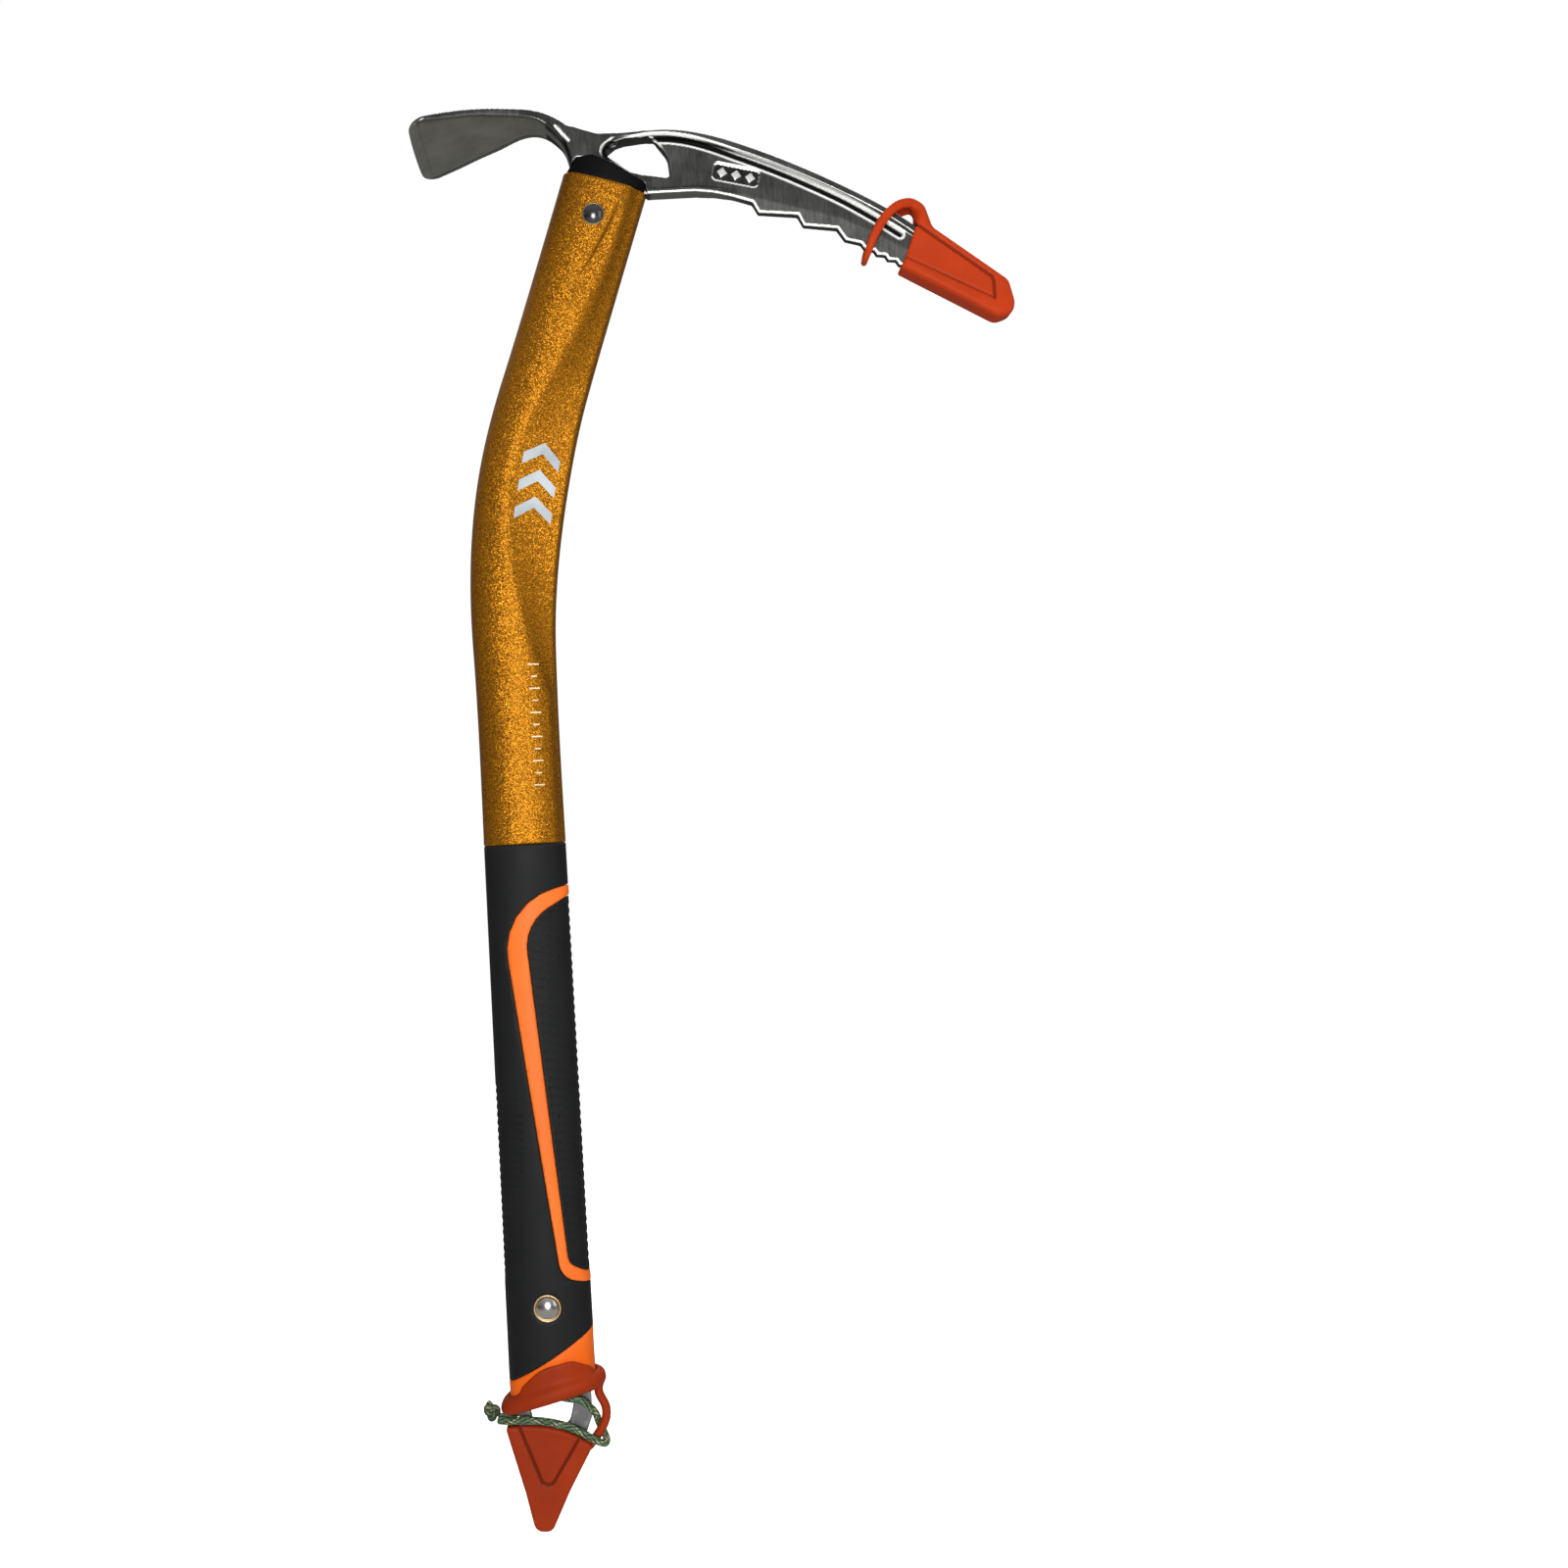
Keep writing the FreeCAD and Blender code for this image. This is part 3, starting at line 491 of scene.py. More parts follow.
# The ridge that spirals over the tube's flat side and the step beside the rivet: (distance, place across).
RIDGE = [(284.0, 14.5), (299.0, 8.8), (328.0, 1.6), (358.0, -4.9), (373.0, -5.8), (391.0, -4.2), (420.0, 2.2),
         (450.0, 9.3), (466.0, 11.2), (SHAFT_LENGTH, 11.8)]
STEP_LINE = [(446.0, -3.4), (458.0, 0.5), (469.0, 4.0), (478.0, 5.9), (488.0, 7.6), (498.0, 9.0)]
STEP_DEPTH = [(448.0, 0.0), (460.0, 0.45), (474.0, 0.9), (487.0, 0.8), (497.0, 0.0)]
# A printed film: the gap between its points, and how far its two faces lie off the tube.
FILM_STEP = 0.8
FILM_LIFTS = (0.07, -0.15)


def shaft_frame(distance):
    """Point on the shaft's axis, and the directions along and across it, at a distance along the axis."""
    turned = min(max(distance - BEND_START, 0.0), BEND_RADIUS * BEND_ANGLE) / BEND_RADIUS
    beyond = max(distance - BEND_START - BEND_RADIUS * BEND_ANGLE, 0.0)
    along = np.array((math.sin(turned), 0, math.cos(turned)))
    across = np.array((math.cos(turned), 0, -math.sin(turned)))
    start = np.array((BEND_RADIUS * (1 - math.cos(turned)), 0,
                      min(distance, BEND_START) + BEND_RADIUS * math.sin(turned)))
    return start + along * beyond, along, across


def in_tube(b):
    """The block's places across and along the shaft's upper end."""
    top, along, across = shaft_frame(SHAFT_LENGTH)
    dx, dz = b.x - top[0], b.z - top[2]
    return dx * across[0] + dz * across[2], dx * along[0] + dz * along[2]


def oval_ring(half_width, half_depth, inset=0.0):
    """Places (across, deep) round the oval, closest on its flat sides, and the flat side's height rule."""
    end = half_depth * ROUNDNESS - inset
    half_width -= inset
    half_depth -= inset
    flat = ((half_width - end) ** 2 + half_depth ** 2 - end ** 2) / (2 * (half_depth - end))
    lean = math.atan2(half_width - end, flat - half_depth)
    first = lean * np.arange(FLAT_STEPS) / FLAT_STEPS
    second = lean + (math.pi / 2 - lean) * np.arange(END_STEPS) / END_STEPS
    quarter = np.r_[np.c_[flat * np.sin(first), half_depth - flat + flat * np.cos(first)],
                    np.c_[half_width - end + end * np.sin(second), end * np.cos(second)]]
    quarter = np.r_[quarter, [(half_width, 0.0)]]
    right = np.r_[quarter, quarter[-2::-1] * (1, -1)]
    ring = np.r_[right, right[-2:0:-1] * (-1, 1)]

    def height(u):
        u = np.abs(u)
        on_flat = half_depth - flat + np.sqrt(np.maximum(flat ** 2 - u ** 2, 0))
        on_end = np.sqrt(np.maximum(end ** 2 - (u - half_width + end) ** 2, 0))
        return np.where(u <= flat * math.sin(lean), on_flat, on_end)

    return ring, height


def table(points, value):
    rows = np.array(points)
    return float(np.interp(value, rows[:, 0], rows[:, 1]))


ridge_line = through(RIDGE)
width_line = through(SHAFT_WIDTHS)


def creased(ring, height, distance, half_width):
    """The ring with the ridge, the hollow facet beyond it and the step beside the rivet pressed in."""
    ridge = table(ridge_line, distance)
    u, v = ring[:, 0], np.abs(ring[:, 1])
    edge = 0.955 * half_width
    if ridge < edge - 1:
        start, stop = float(height(ridge)), float(height(edge))
        share = np.clip((u - ridge) / (edge - ridge), 0, 1)
        chord = start + (stop - start) * (u - ridge) / (edge - ridge) - 0.55 * np.sin(math.pi * share)
        v = joined(v, chord, 1.2)
    line = table(STEP_LINE, distance)
    fall = smooth_step(line - 0.7, line + 0.7, u)
    rise = 1 - smooth_step(line + 0.7, max(ridge, line + 3.0), u)
    v = v - table(STEP_DEPTH, distance) * fall * rise * (v > 3)
    return np.c_[u, np.maximum(v, 0) * np.sign(ring[:, 1])]


def tube_ring(distance):
    """The tube's creased outline at a distance along the axis, and its half width there."""
    width = table(width_line, distance)
    ring, height = oval_ring(width, SHAFT_HALF_DEPTH)
    return creased(ring, height, distance, width), width


def rim_drop(u, v):
    """How far the tube's rim is cut back from a square end: more at the adze's side and on the faces."""
    share = np.clip(0.5 + u / 36, 0, 1)
    return 1.6 * (1 - share) + 5.6 * share * (1 - share) * np.abs(v) / SHAFT_HALF_DEPTH


def shaft():
    """The tube above the grip with its pressed ridge, the narrower run under the grip, and the bore."""
    top = SHAFT_LENGTH
    rows = []

    def add(distance, ring):
        origin, along, across = shaft_frame(distance)
        drop = rim_drop(ring[:, 0], ring[:, 1]) * smooth_step(top - 10, top, distance)
        deep = ring[:, 1:] * np.array((0, 1.0, 0))
        rows.append(origin + ring[:, :1] * across + deep - drop[:, None] * along)

    for distance in (0.0, GRIP_TOP - 0.01):
        add(distance, oval_ring(*CORE_HALF)[0])
    stations = np.r_[GRIP_TOP, np.arange(GRIP_TOP + 0.4, top - 0.6, 0.8), top - 0.5, top - 0.25, top]
    eased = {0: 0.3, len(stations) - 2: 0.12, len(stations) - 1: 0.4}
    for i, distance in enumerate(stations):
        add(distance, tube_ring(distance)[0] * (1 - eased.get(i, 0.0) / SHAFT_HALF_DEPTH))
    for distance in (top, top - 8.0, 445.0, 415.0, 380.0, 340.0, 300.0, GRIP_TOP + WALL):
        ring, width = tube_ring(distance)
        add(distance, ring * np.array((1 - WALL / width, 1 - WALL / SHAFT_HALF_DEPTH)))
    for distance in (GRIP_TOP + WALL - 0.01, 0.0):
        add(distance, oval_ring(*CORE_HALF, WALL)[0])
    obj = mesh_piece("shaft_tube", np.concatenate(rows), grid_faces(len(rows), len(rows[0]), True, True))
    return finished(obj, gold, "gold_anodised", "axe", "shaft")


def on_front(distance, u, lift):
    """A place on the tube's front face, raised by lift."""
    width = table(width_line, distance)
    height = oval_ring(width, SHAFT_HALF_DEPTH)[1]
    v = creased(np.array([(u, -float(height(u)))]), height, distance, width)[0, 1]
    origin, _, across = shaft_frame(distance)
    return origin + u * across + np.array((0, v - lift, 0))


def printed(name, patches, material):
    """Films that follow the tube's front, each over four (distance, across) corners."""
    points, faces = [], []
    for patch in patches:
        a, b, c, d = np.array(patch, float)
        rows = max(1, math.ceil(np.linalg.norm(d - a) / FILM_STEP)) + 1
        cols = max(1, math.ceil(np.linalg.norm(b - a) / FILM_STEP)) + 1
        first = len(points)
        low = first + rows * cols
        for lift in FILM_LIFTS:
            for i in np.linspace(0, 1, rows):
                for j in np.linspace(0, 1, cols):
                    at = (a * (1 - j) + b * j) * (1 - i) + (d * (1 - j) + c * j) * i
                    points.append(on_front(at[0], at[1], lift))
        for face in grid_faces(rows, cols):
            faces.append([first + v for v in face])
            faces.append([low + v for v in face[::-1]])
        around = ([(0, j) for j in range(cols)] + [(i, cols - 1) for i in range(1, rows)]
                  + [(rows - 1, j) for j in range(cols - 2, -1, -1)]
                  + [(i, 0) for i in range(rows - 2, 0, -1)])
        for k, following in segments(np.array([i * cols + j for i, j in around]), True):
            faces.append([first + following, first + k, low + k, low + following])
    obj = dress(mesh_piece(name, np.array(points), faces, smooth=False), material)
    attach(obj, "axe")


def prints():
    """A generic device of three chevrons, and a plain scale of ticks lower down."""
    pale = rubber("print_silver", srgb(176, 183, 188), 0.5, shine=0.3)
    cream = rubber("print_cream", srgb(222, 206, 168), 0.5, shine=0.3)
    middle, reach = 6.4, 7.6
    chevrons = []
    for place in (360.5, 372.0, 383.5):
        for end in (middle - reach, middle + reach):
            chevrons.append([(place - 3.4, end), (place + 2.6, middle), (place + 7.4, middle),
                             (place + 1.4, end)])
    printed("shaft_device", chevrons, pale)
    ticks = []
    for i in range(11):
        place = 246.0 + 5.0 * i
        half = 2.2 if i % 2 == 0 else 1.2
        left, right = 8.0 - half, 8.0 + half
        ticks.append([(place, left), (place, right), (place + 0.6, right), (place + 0.6, left)])
    printed("shaft_scale", ticks, cream)


shaft()
prints()

# ---------------------------------------------------------------- grip

GRIP_FLOOR = -18.0
PANEL = [(30.0, 207.5, 0), (-11.4, 197.0, 26.0), (6.4, 42.0, 9.0), (30.0, 34.0, 0)]
PANEL_INSIDE = [(30.0, 207.0, 0), (-1.7, 189.5, 19.0), (9.6, 47.5, 6.0), (30.0, 34.5, 0)]
SIDE_RIBS = [(-30.0, 122.0, 0), (-6.5, 122.0, 3), (-6.5, 104.0, 8), (-9.0, 40.0, 3), (-30.0, 40.0, 0)]
RIVET_PLACE = (0.0, 30.0)
SEAM = 0.12
PAD_PITCH = 3.7
SIDE_PITCH = 3.3


def grip():
    """The orange layer with its stripe and slanted end, the black cover over it and the ribbed pad."""
    b = Block((-21, -13.5, -14), (21, 13.5, 223.2))
    share = np.clip((b.z - GRIP_FLOOR) / (GRIP_TOP - GRIP_FLOOR), 0, 1)
    outside = oval(b.x, b.y, 18.3 - 1.1 * share, 11.8 - 0.8 * share)
    inside = oval(b.x, b.y, *CORE_HALF)
    top = b.z - GRIP_TOP
    end = (-7.75 + 0.264 * b.x - b.z) / math.hypot(1, 0.264)
    black = (8.4 + 0.587 * b.x - b.z) / math.hypot(1, 0.587)
    panel = polygon(b.x, b.z, rounded(PANEL))
    panel_in = polygon(b.x, b.z, rounded(PANEL_INSIDE))
    seat = np.hypot(b.x - RIVET_PLACE[0], b.z - RIVET_PLACE[1])
    layer = oval(b.x, b.y, 16.0, 9.8)

    side_zone = np.maximum(polygon(b.x, b.z, rounded(SIDE_RIBS)), -1)
    side_rib = 0.5 + 0.5 * np.cos(2 * math.pi * (b.z + 0.12 * b.x) / SIDE_PITCH)
    side_cut = 0.42 * side_rib ** 1.5 * smooth_step(0.2, -1.2, side_zone)
    cover = both(outside + side_cut, -layer, 0.2)
    cover = both(cover, black + SEAM, 0.3)
    cover = both(cover, top, 0.4)
    cover = without(cover, panel - SEAM, 0.45)
    cover = without(cover, seat - 5.8, 0.2)

    pad_rib = 0.5 + 0.5 * np.cos(2 * math.pi * (b.z + 0.27 * b.x) / PAD_PITCH)
    rib_zone = both(panel_in + 1.2, both(44.0 - b.z, b.z - 203.0))
    pad = both(outside + 0.05 + 0.42 * pad_rib ** 1.6 * smooth_step(0.3, -0.8, rib_zone), -layer, 0.2)
    pad = both(pad, panel_in + SEAM, 0.45)

    stripe = both(outside - 0.12, both(panel, -panel_in), 0.5)
    lower = both(outside, -black, 0.3)
    base = joined(joined(stripe, lower), layer)
    base = both(both(base, -inside), both(top, end, 0.3), 0.3)
    base = without(base, seat - 3.3)
    base = without(base, both(seat - 5.8, 10.6 - np.abs(b.y)))

    for node, field, material, slot in (("grip_cover", cover, black_rubber, "black_rubber"),
                                        ("grip_pad", pad, black_rubber, "black_rubber"),
                                        ("grip_base", base, stripe_rubber, "orange_rubber")):
        finished(skin(node + "_skin", [(b, field)], 0.15), material, slot, "axe", node)


grip()

# ---------------------------------------------------------------- head

SPINE = [(36.0, 520.6), (46.0, 516.7), (62.0, 516.9), (74.9, 517.3), (107.3, 508.9), (139.3, 494.3),
         (162.2, 481.6), (176.3, 472.3), (204.0, 448.0)]
PICK_TIP = (211.5, 436.0)
UNDERSIDE = [(65.5, 490.9), (86.0, 490.9), (94.0, 490.0), (101.5, 488.3), (109.4, 485.6)]
BIG_TEETH = [(111.8, 481.2), (128.2, 479.4), (130.4, 474.9), (144.4, 472.9), (147.6, 468.0), (154.0, 466.2)]
SMALL_TOOTH_START = (156.0, 463.4)
SMALL_TOOTH_END = (206.0, 437.6)
SMALL_TEETH = 11
EYE_HOLE = [(48.8, 508.6, 1.2), (56.4, 514.2, 9.0), (69.0, 514.5, 6.0), (74.9, 506.4, 8.0),
            (75.6, 497.4, 1.6), (62.0, 500.0, 14.0)]
ADZE_TOP = [(40.0, 518.0), (33.0, 521.4), (26.0, 524.4), (16.0, 525.8), (6.0, 524.3), (-5.0, 522.1),
            (-15.0, 519.7), (-24.7, 516.9), (-31.5, 514.6)]
ADZE_UNDER = [(-30.8, 513.4), (-24.9, 515.0), (-14.5, 517.3), (-4.6, 519.6), (5.3, 521.2), (13.0, 522.5),
              (19.6, 522.4), (24.5, 520.4), (28.5, 516.8), (31.5, 513.0), (33.6, 508.4), (34.4, 504.0)]
ADZE_FLANK = [(33.0, 4.6), (29.0, 6.4), (19.6, 9.3), (13.0, 11.6), (5.5, 15.8), (-4.5, 20.6), (-22.9, 27.5)]
ADZE_CORNER = (-24.5, 19.5)
ADZE_CORNER_REACH = (6.3, 8.4)
NECK = [(29.0, 522.0, 0), (46.0, 516.4, 3.0), (66.0, 516.6, 0), (66.0, 515.7, 0), (57.0, 514.7, 4.0),
        (50.0, 512.9, 4.0), (46.8, 508.4, 3.0), (62.0, 499.0, 6.0), (66.4, 496.5, 0), (66.4, 491.5, 0),
        (34.6, 502.2, 0), (32.4, 512.6, 3.0)]
GROOVE_DROP = [(50.0, 5.9), (52.0, 5.3), (57.0, 4.2), (67.5, 3.1), (75.0, 3.3), (85.0, 3.8), (105.0, 5.05),
               (150.0, 5.3), (172.0, 6.1)]
GROOVE_LEAD = [(46.9, 505.5), (47.9, 509.0)]
SADDLE = [(30.0, 494.0, 0), (32.0, 501.5, 1.0), (36.8, 506.6, 1.5), (43.3, 506.4, 3.0), (59.5, 497.6, 4.0),
          (64.8, 495.8, 1.5), (66.6, 484.5, 0)]
NECK_HALF_DEPTH = 6.0
WEB = 2.4
SPINE_HALF_DEPTH = 4.0
TANG_HALF_WIDTH = 13.0
TANG_HALF_DEPTH = 4.0
TANG_LENGTH = 34.0
MARK_CENTRE = (103.1, 497.3)
MARK_TILT = math.radians(-14.0)


def small_teeth():
    start, stop = np.array(SMALL_TOOTH_START), np.array(SMALL_TOOTH_END)
    points = []
    for i in range(SMALL_TEETH):
        points.append(start + (stop - start) * i / SMALL_TEETH)
        points.append(start + (stop - start) * (i + 0.75) / SMALL_TEETH + (0, 1.4))
    return points


def beside(line, gap):
    """A line moved down by gap, or by a gap for each point, square to itself."""
    run = np.gradient(line, axis=0)
    down = np.c_[run[:, 1], -run[:, 0]]
    return line + down / np.linalg.norm(down, axis=1)[:, None] * np.reshape(gap, (-1, 1))


def pick_outline():
    under = small_teeth()[::-1] + BIG_TEETH[::-1] + UNDERSIDE[::-1]
    rest = [PICK_TIP] + under + [(64.6, 491.8), (36.0, 501.8), (34.5, 509.0)]
    return np.concatenate([through(SPINE), np.array(rest)])


def adze_plan():
    """The blade seen from above: a curved cutting edge, rounded corners, flanks that narrow to the neck."""
    flank = through(ADZE_FLANK, 4)
    turn = np.radians(np.linspace(-8, 82, 10))
    corner = np.c_[ADZE_CORNER[0] - ADZE_CORNER_REACH[0] * np.sin(turn),
                   ADZE_CORNER[1] + ADZE_CORNER_REACH[1] * np.cos(turn)]
    side = np.concatenate([[(46.0, 4.6)], flank, corner])
    end = corner[-1]
    edge = [(end[0] - 0.8 * (1 - (y / end[1]) ** 2), y) for y in np.linspace(end[1], -end[1], 15)[1:-1]]
    return np.concatenate([side, edge, side[::-1] * (1, -1)])


def groove_route():
    line = through(SPINE, 16)
    drops = np.array(GROOVE_DROP)
    line = beside(line, np.interp(line[:, 0], drops[:, 0], drops[:, 1]))
    return np.concatenate([GROOVE_LEAD, line[(line[:, 0] > 49.5) & (line[:, 0] < 171.0)]])


def mark(x, z):
    """The generic mark pressed into the pick: distances to a shallow window and to the lozenges in it."""
    dx, dz = x - MARK_CENTRE[0], z - MARK_CENTRE[1]
    u = dx * math.cos(MARK_TILT) + dz * math.sin(MARK_TILT)
    w = -dx * math.sin(MARK_TILT) + dz * math.cos(MARK_TILT)
    window = both(np.abs(u) - 9.6, np.abs(w) - 3.6, 1.5)
    cell = (u / 6.0 - np.round(u / 6.0)) * 6.0
    lozenges = both((np.abs(cell) / 2.5 + np.abs(w) / 2.4 - 1) * 1.7, window + 0.8)
    return window, lozenges


def head_field(b):
    """Distance to the forging's surface."""
    spine = through(SPINE)
    flat = polygon(b.x, b.z, pick_outline())
    eye = polygon(b.x, b.z, rounded(EYE_HOLE))
    depth = near_line((b.x, b.z), spine)
    under = near_line((b.x, b.z), np.array([(64.0, 491.6)] + UNDERSIDE))
    groove = near_line((b.x, b.z), groove_route())
    bevel = np.array([(100.0, 490.6), (145.0, 477.5), (159.0, 470.9), (206.0, 443.0)])
    below_bevel = (np.interp(b.x, bevel[:, 0], bevel[:, 1]) - b.z) * 0.9

    tip_thin = smooth_step(150.0, 212.0, b.x)
    half = WEB - 0.5 * tip_thin + 0 * b.z
    half = half - 0.06 * np.clip(below_bevel, 0, 8) * (b.x > 98)
    flange = (SPINE_HALF_DEPTH - WEB) * (1 - smooth_step(2.7, 3.7, depth))
    flange = flange * (1 - smooth_step(164.0, 200.0, b.x))
    heel = 1.4 * (1 - smooth_step(1.6, 2.8, under)) * (1 - smooth_step(84.0, 106.0, b.x))
    half = half + np.maximum(flange, heel)
    half = half - 0.95 * (1 - smooth_step(1.0, 1.7, groove))
    window, lozenges = mark(b.x, b.z)
    half = half - 0.55 * smooth_step(0.35, -0.35, window) + 0.5 * smooth_step(0.3, -0.3, lozenges)
    plate = both(flat, np.abs(b.y) - half, 0.55)

    upper_bar = smooth_step(509.0, 512.0, b.z)
    neck_half = NECK_HALF_DEPTH - 3.4 * smooth_step(55.0, 64.0, b.x) * (1 - upper_bar)
    neck_half = neck_half - 2.0 * smooth_step(46.0, 62.0, b.x) * upper_bar
    neck = both(polygon(b.x, b.z, rounded(NECK)), np.abs(b.y) - neck_half, 1.1)
    band = np.concatenate([through(ADZE_TOP), through(ADZE_UNDER), [(42.0, 503.0)]])
    side = polygon(b.x, b.z, band)
    plan = polygon(b.x, b.y, adze_plan())
    blade = both(side, plan, 0.5)
    lip = through(ADZE_UNDER)
    lip = lip[(lip[:, 0] > -27.2) & (lip[:, 0] < 31.0)]
    lip = lip + np.c_[0 * lip[:, 0], 0.55 * smooth_step(31.0, 20.0, lip[:, 0])]
    hollow = polygon(b.x, b.z, np.concatenate([lip, [(36.0, 490.0), (-27.2, 490.0)]]))
    blade = without(blade, both(hollow, plan + 1.8, 0.8), 0.3)
    body = joined(joined(plate, neck, 2.0), blade, 1.2)

    rim = smooth_step(70.0, 60.0, b.x) * smooth_step(515.0, 511.4, b.z)
    body = without(body, eye - 2.8 * rim * smooth_step(1.5, 6.0, np.abs(b.y)), 0.4)
    body = without(body, both(polygon(b.x, b.z, rounded(SADDLE)), 2.6 - np.abs(b.y)))

    u, s = in_tube(b)
    reach = np.abs(s + TANG_LENGTH / 2 - 1) - TANG_LENGTH / 2 - 1
    tongue = both(both(np.abs(u) - TANG_HALF_WIDTH, reach, 1.0), np.abs(b.y) - TANG_HALF_DEPTH, 0.4)
    body = joined(body, tongue)
    rivet_at = shaft_frame(SHAFT_LENGTH - 17.5)[0]
    return without(body, np.sqrt((b.x - rivet_at[0]) ** 2 + (b.z - rivet_at[2]) ** 2) - 3.1)


def painted_light_and_scale(x, y, z, facing, falling):
    """Painted highlight, painted shade and forging scale on the forging, 0 to 1: painted highlights on the lips
    and lower edges, painted shade in the hollows and undersides.
    """
    front = smooth_step(0.25, 0.6, facing)
    side = smooth_step(0.45, 0.25, facing)
    groove = near_line((x, z), groove_route())
    window, lozenges = mark(x, z)
    eye = polygon(x, z, rounded(EYE_HOLE))
    teeth = np.array([(64.0, 491.6)] + UNDERSIDE + BIG_TEETH + small_teeth() + [SMALL_TOOTH_END])
    lower = near_line((x, z), teeth)
    shoulder = near_line((x, z), np.array([(28.6, 519.9), (33.9, 513.9)]))
    root = near_line((x, z), np.array([(25.4, 519.8), (30.2, 515.4), (33.2, 509.6), (34.4, 504.0)]))
    plan = polygon(x, y, adze_plan())

    # Painted highlights: near-white lines on the groove's lips, the eye's rim and corner, the teeth, the mark's
    # frame, its raised lozenges, the adze's shoulder and a faint cutting bevel.
    lips = smooth_step(0.8, 0.5, np.abs(groove - 1.7))
    lips *= smooth_step(50.0, 53.0, x) * smooth_step(173.5, 172.0, x)
    eye_rim = smooth_step(0.6, 0.3, np.abs(eye - 2.7)) * smooth_step(66.0, 60.0, x)
    eye_rim *= smooth_step(506.0, 508.5, z) * smooth_step(515.0, 514.0, z)
    eye_corner = smooth_step(0.7, 0.4, np.abs(eye - 0.4))
    eye_corner *= smooth_step(67.0, 68.5, x) * smooth_step(509.5, 511.5, z)
    teeth_edge = smooth_step(1.0, 0.7, lower)
    from_middle = np.abs(z - MARK_CENTRE[1] + 0.25 * (x - MARK_CENTRE[0]))
    frame_edge = smooth_step(0.5, 0.25, np.abs(window)) * smooth_step(2.2, 2.8, from_middle)
    raised = smooth_step(0.1, -0.4, lozenges)
    diagonal = smooth_step(0.75, 0.45, shoulder) * (np.abs(y) > 4)
    highlight_lines = [lips, eye_rim, 0.8 * eye_corner, teeth_edge, frame_edge, 0.7 * raised, diagonal]
    bevel = 0.06 * smooth_step(-27.0, -27.6, x)
    painted_highlight = np.maximum(front * np.max(highlight_lines, axis=0), bevel)

    # Painted shade: near black in the groove, by the eye, under the teeth, in the pressed mark, along the
    # adze's underside and its root, round the saddle and on the eye's far side.
    hollow = smooth_step(1.25, 1.0, groove) * smooth_step(49.0, 51.0, x) * (eye > 0.1)
    tip = smooth_step(2.7, 2.2, eye) * smooth_step(58.0, 52.0, x) * (np.abs(y) < 5.9) * (eye > 0.3)
    wall = side * smooth_step(0.5, 0.2, np.abs(eye)) * (0.35 + 0.5 * smooth_step(509.0, 512.0, z))
    under = side * smooth_step(1.4, 1.0, lower) * smooth_step(96.0, 110.0, x) * 0.85
    pressed = smooth_step(0.0, -0.4, window) * (1 - raised) * 0.8
    flank = falling * smooth_step(-2.2, -1.2, plan) * (x < 33) * (x > -27) * 0.5
    root = smooth_step(1.7, 0.9, root) * (np.abs(y) > 2.5) * 0.9
    seat = side * smooth_step(1.6, 0.8, np.abs(polygon(x, z, rounded(SADDLE))))
    seat *= (x > 34.0) * (x < 67.0) * 0.8
    far_side = smooth_step(1.2, 0.6, np.abs(eye)) * smooth_step(66.0, 68.0, x)
    far_side *= smooth_step(511.0, 508.5, z) * 0.6
    painted_shade = np.max([hollow, 0.8 * tip, wall, under, pressed, flank, root, seat, far_side], axis=0)
    scale = falling * (side > 0.5) * (x < 31.5)
    return painted_highlight, np.clip(painted_shade - painted_highlight, 0, 1), scale


def places(obj):
    """The object's points and normals in the shaft's frame, in millimetres."""
    count = len(obj.data.vertices) * 3
    points, normals = np.empty(count, np.float32), np.empty(count, np.float32)
    obj.data.vertices.foreach_get("co", points)
    obj.data.vertices.foreach_get("normal", normals)
    return unplaced(points.reshape(-1, 3)).T, normals.reshape(-1, 3).T


def painted(obj, name, values):
    """Puts one number on each of the object's points, for its material to read."""
    layer = obj.data.attributes.new(name, "FLOAT", "POINT")
    layer.data.foreach_set("value", np.ascontiguousarray(values, np.float32))


def grooved(obj, cut, facing, where=1.0):
    """Painted shade in the drawn lines, on the faces that look sideways."""
    painted(obj, "painted_shade", smooth_step(0.8, 0.35, cut) * smooth_step(0.5, 0.8, facing) * where * 0.8)


def head():
    left = Block((-34, -30, 458), (55.6, 30, 529.6))
    right = Block((55.6 + STEP, -8, 430), (214, 8, 523))
    obj = skin("head_forging", [(left, head_field(left)), (right, head_field(right))])
    (x, y, z), normal = places(obj)
    # Painted highlight and painted shade are kept on the forging's points for the steel to read.
    painted_highlight, painted_shade, scale = painted_light_and_scale(x, y, z, np.abs(normal[1]), smooth_step(-0.2, -0.5, normal[2]))
    painted(obj, "painted_highlight", painted_highlight)
    painted(obj, "painted_shade", painted_shade)
    painted(obj, "scale", scale)
    return finished(obj, head_steel, "forged_steel", "axe", "head")


head()

# ---------------------------------------------------------------- head's plastic insert


def head_spacer():
    """The saddle under the forging and the skirt that fills the tube round the tang."""
    b = Block((24, -12, 462), (68, 12, 509))
    u, s = in_tube(b)
    saddle = both(polygon(b.x, b.z, rounded(SADDLE)), oval(u, b.y, 17.5, 10.5), 0.7)
    saddle = both(saddle, -s - 0.1 - rim_drop(u, b.y))
    skirt = both(oval(u, b.y, 16.2, 9.3), np.abs(s + 12.0) - 12.3)
    body = without(joined(saddle, skirt), head_field(b) - 0.1)
    obj = skin("head_insert", [(b, body)], 0.1)
    return finished(obj, black_plastic, "black_plastic", "axe", "head_spacer")


head_spacer()

# ---------------------------------------------------------------- rivets and their washers


TURN_STEPS = 72
DOME_HEIGHT = 1.5
WASHER_THICKNESS = 1.0
WASHER_EASE = 0.2


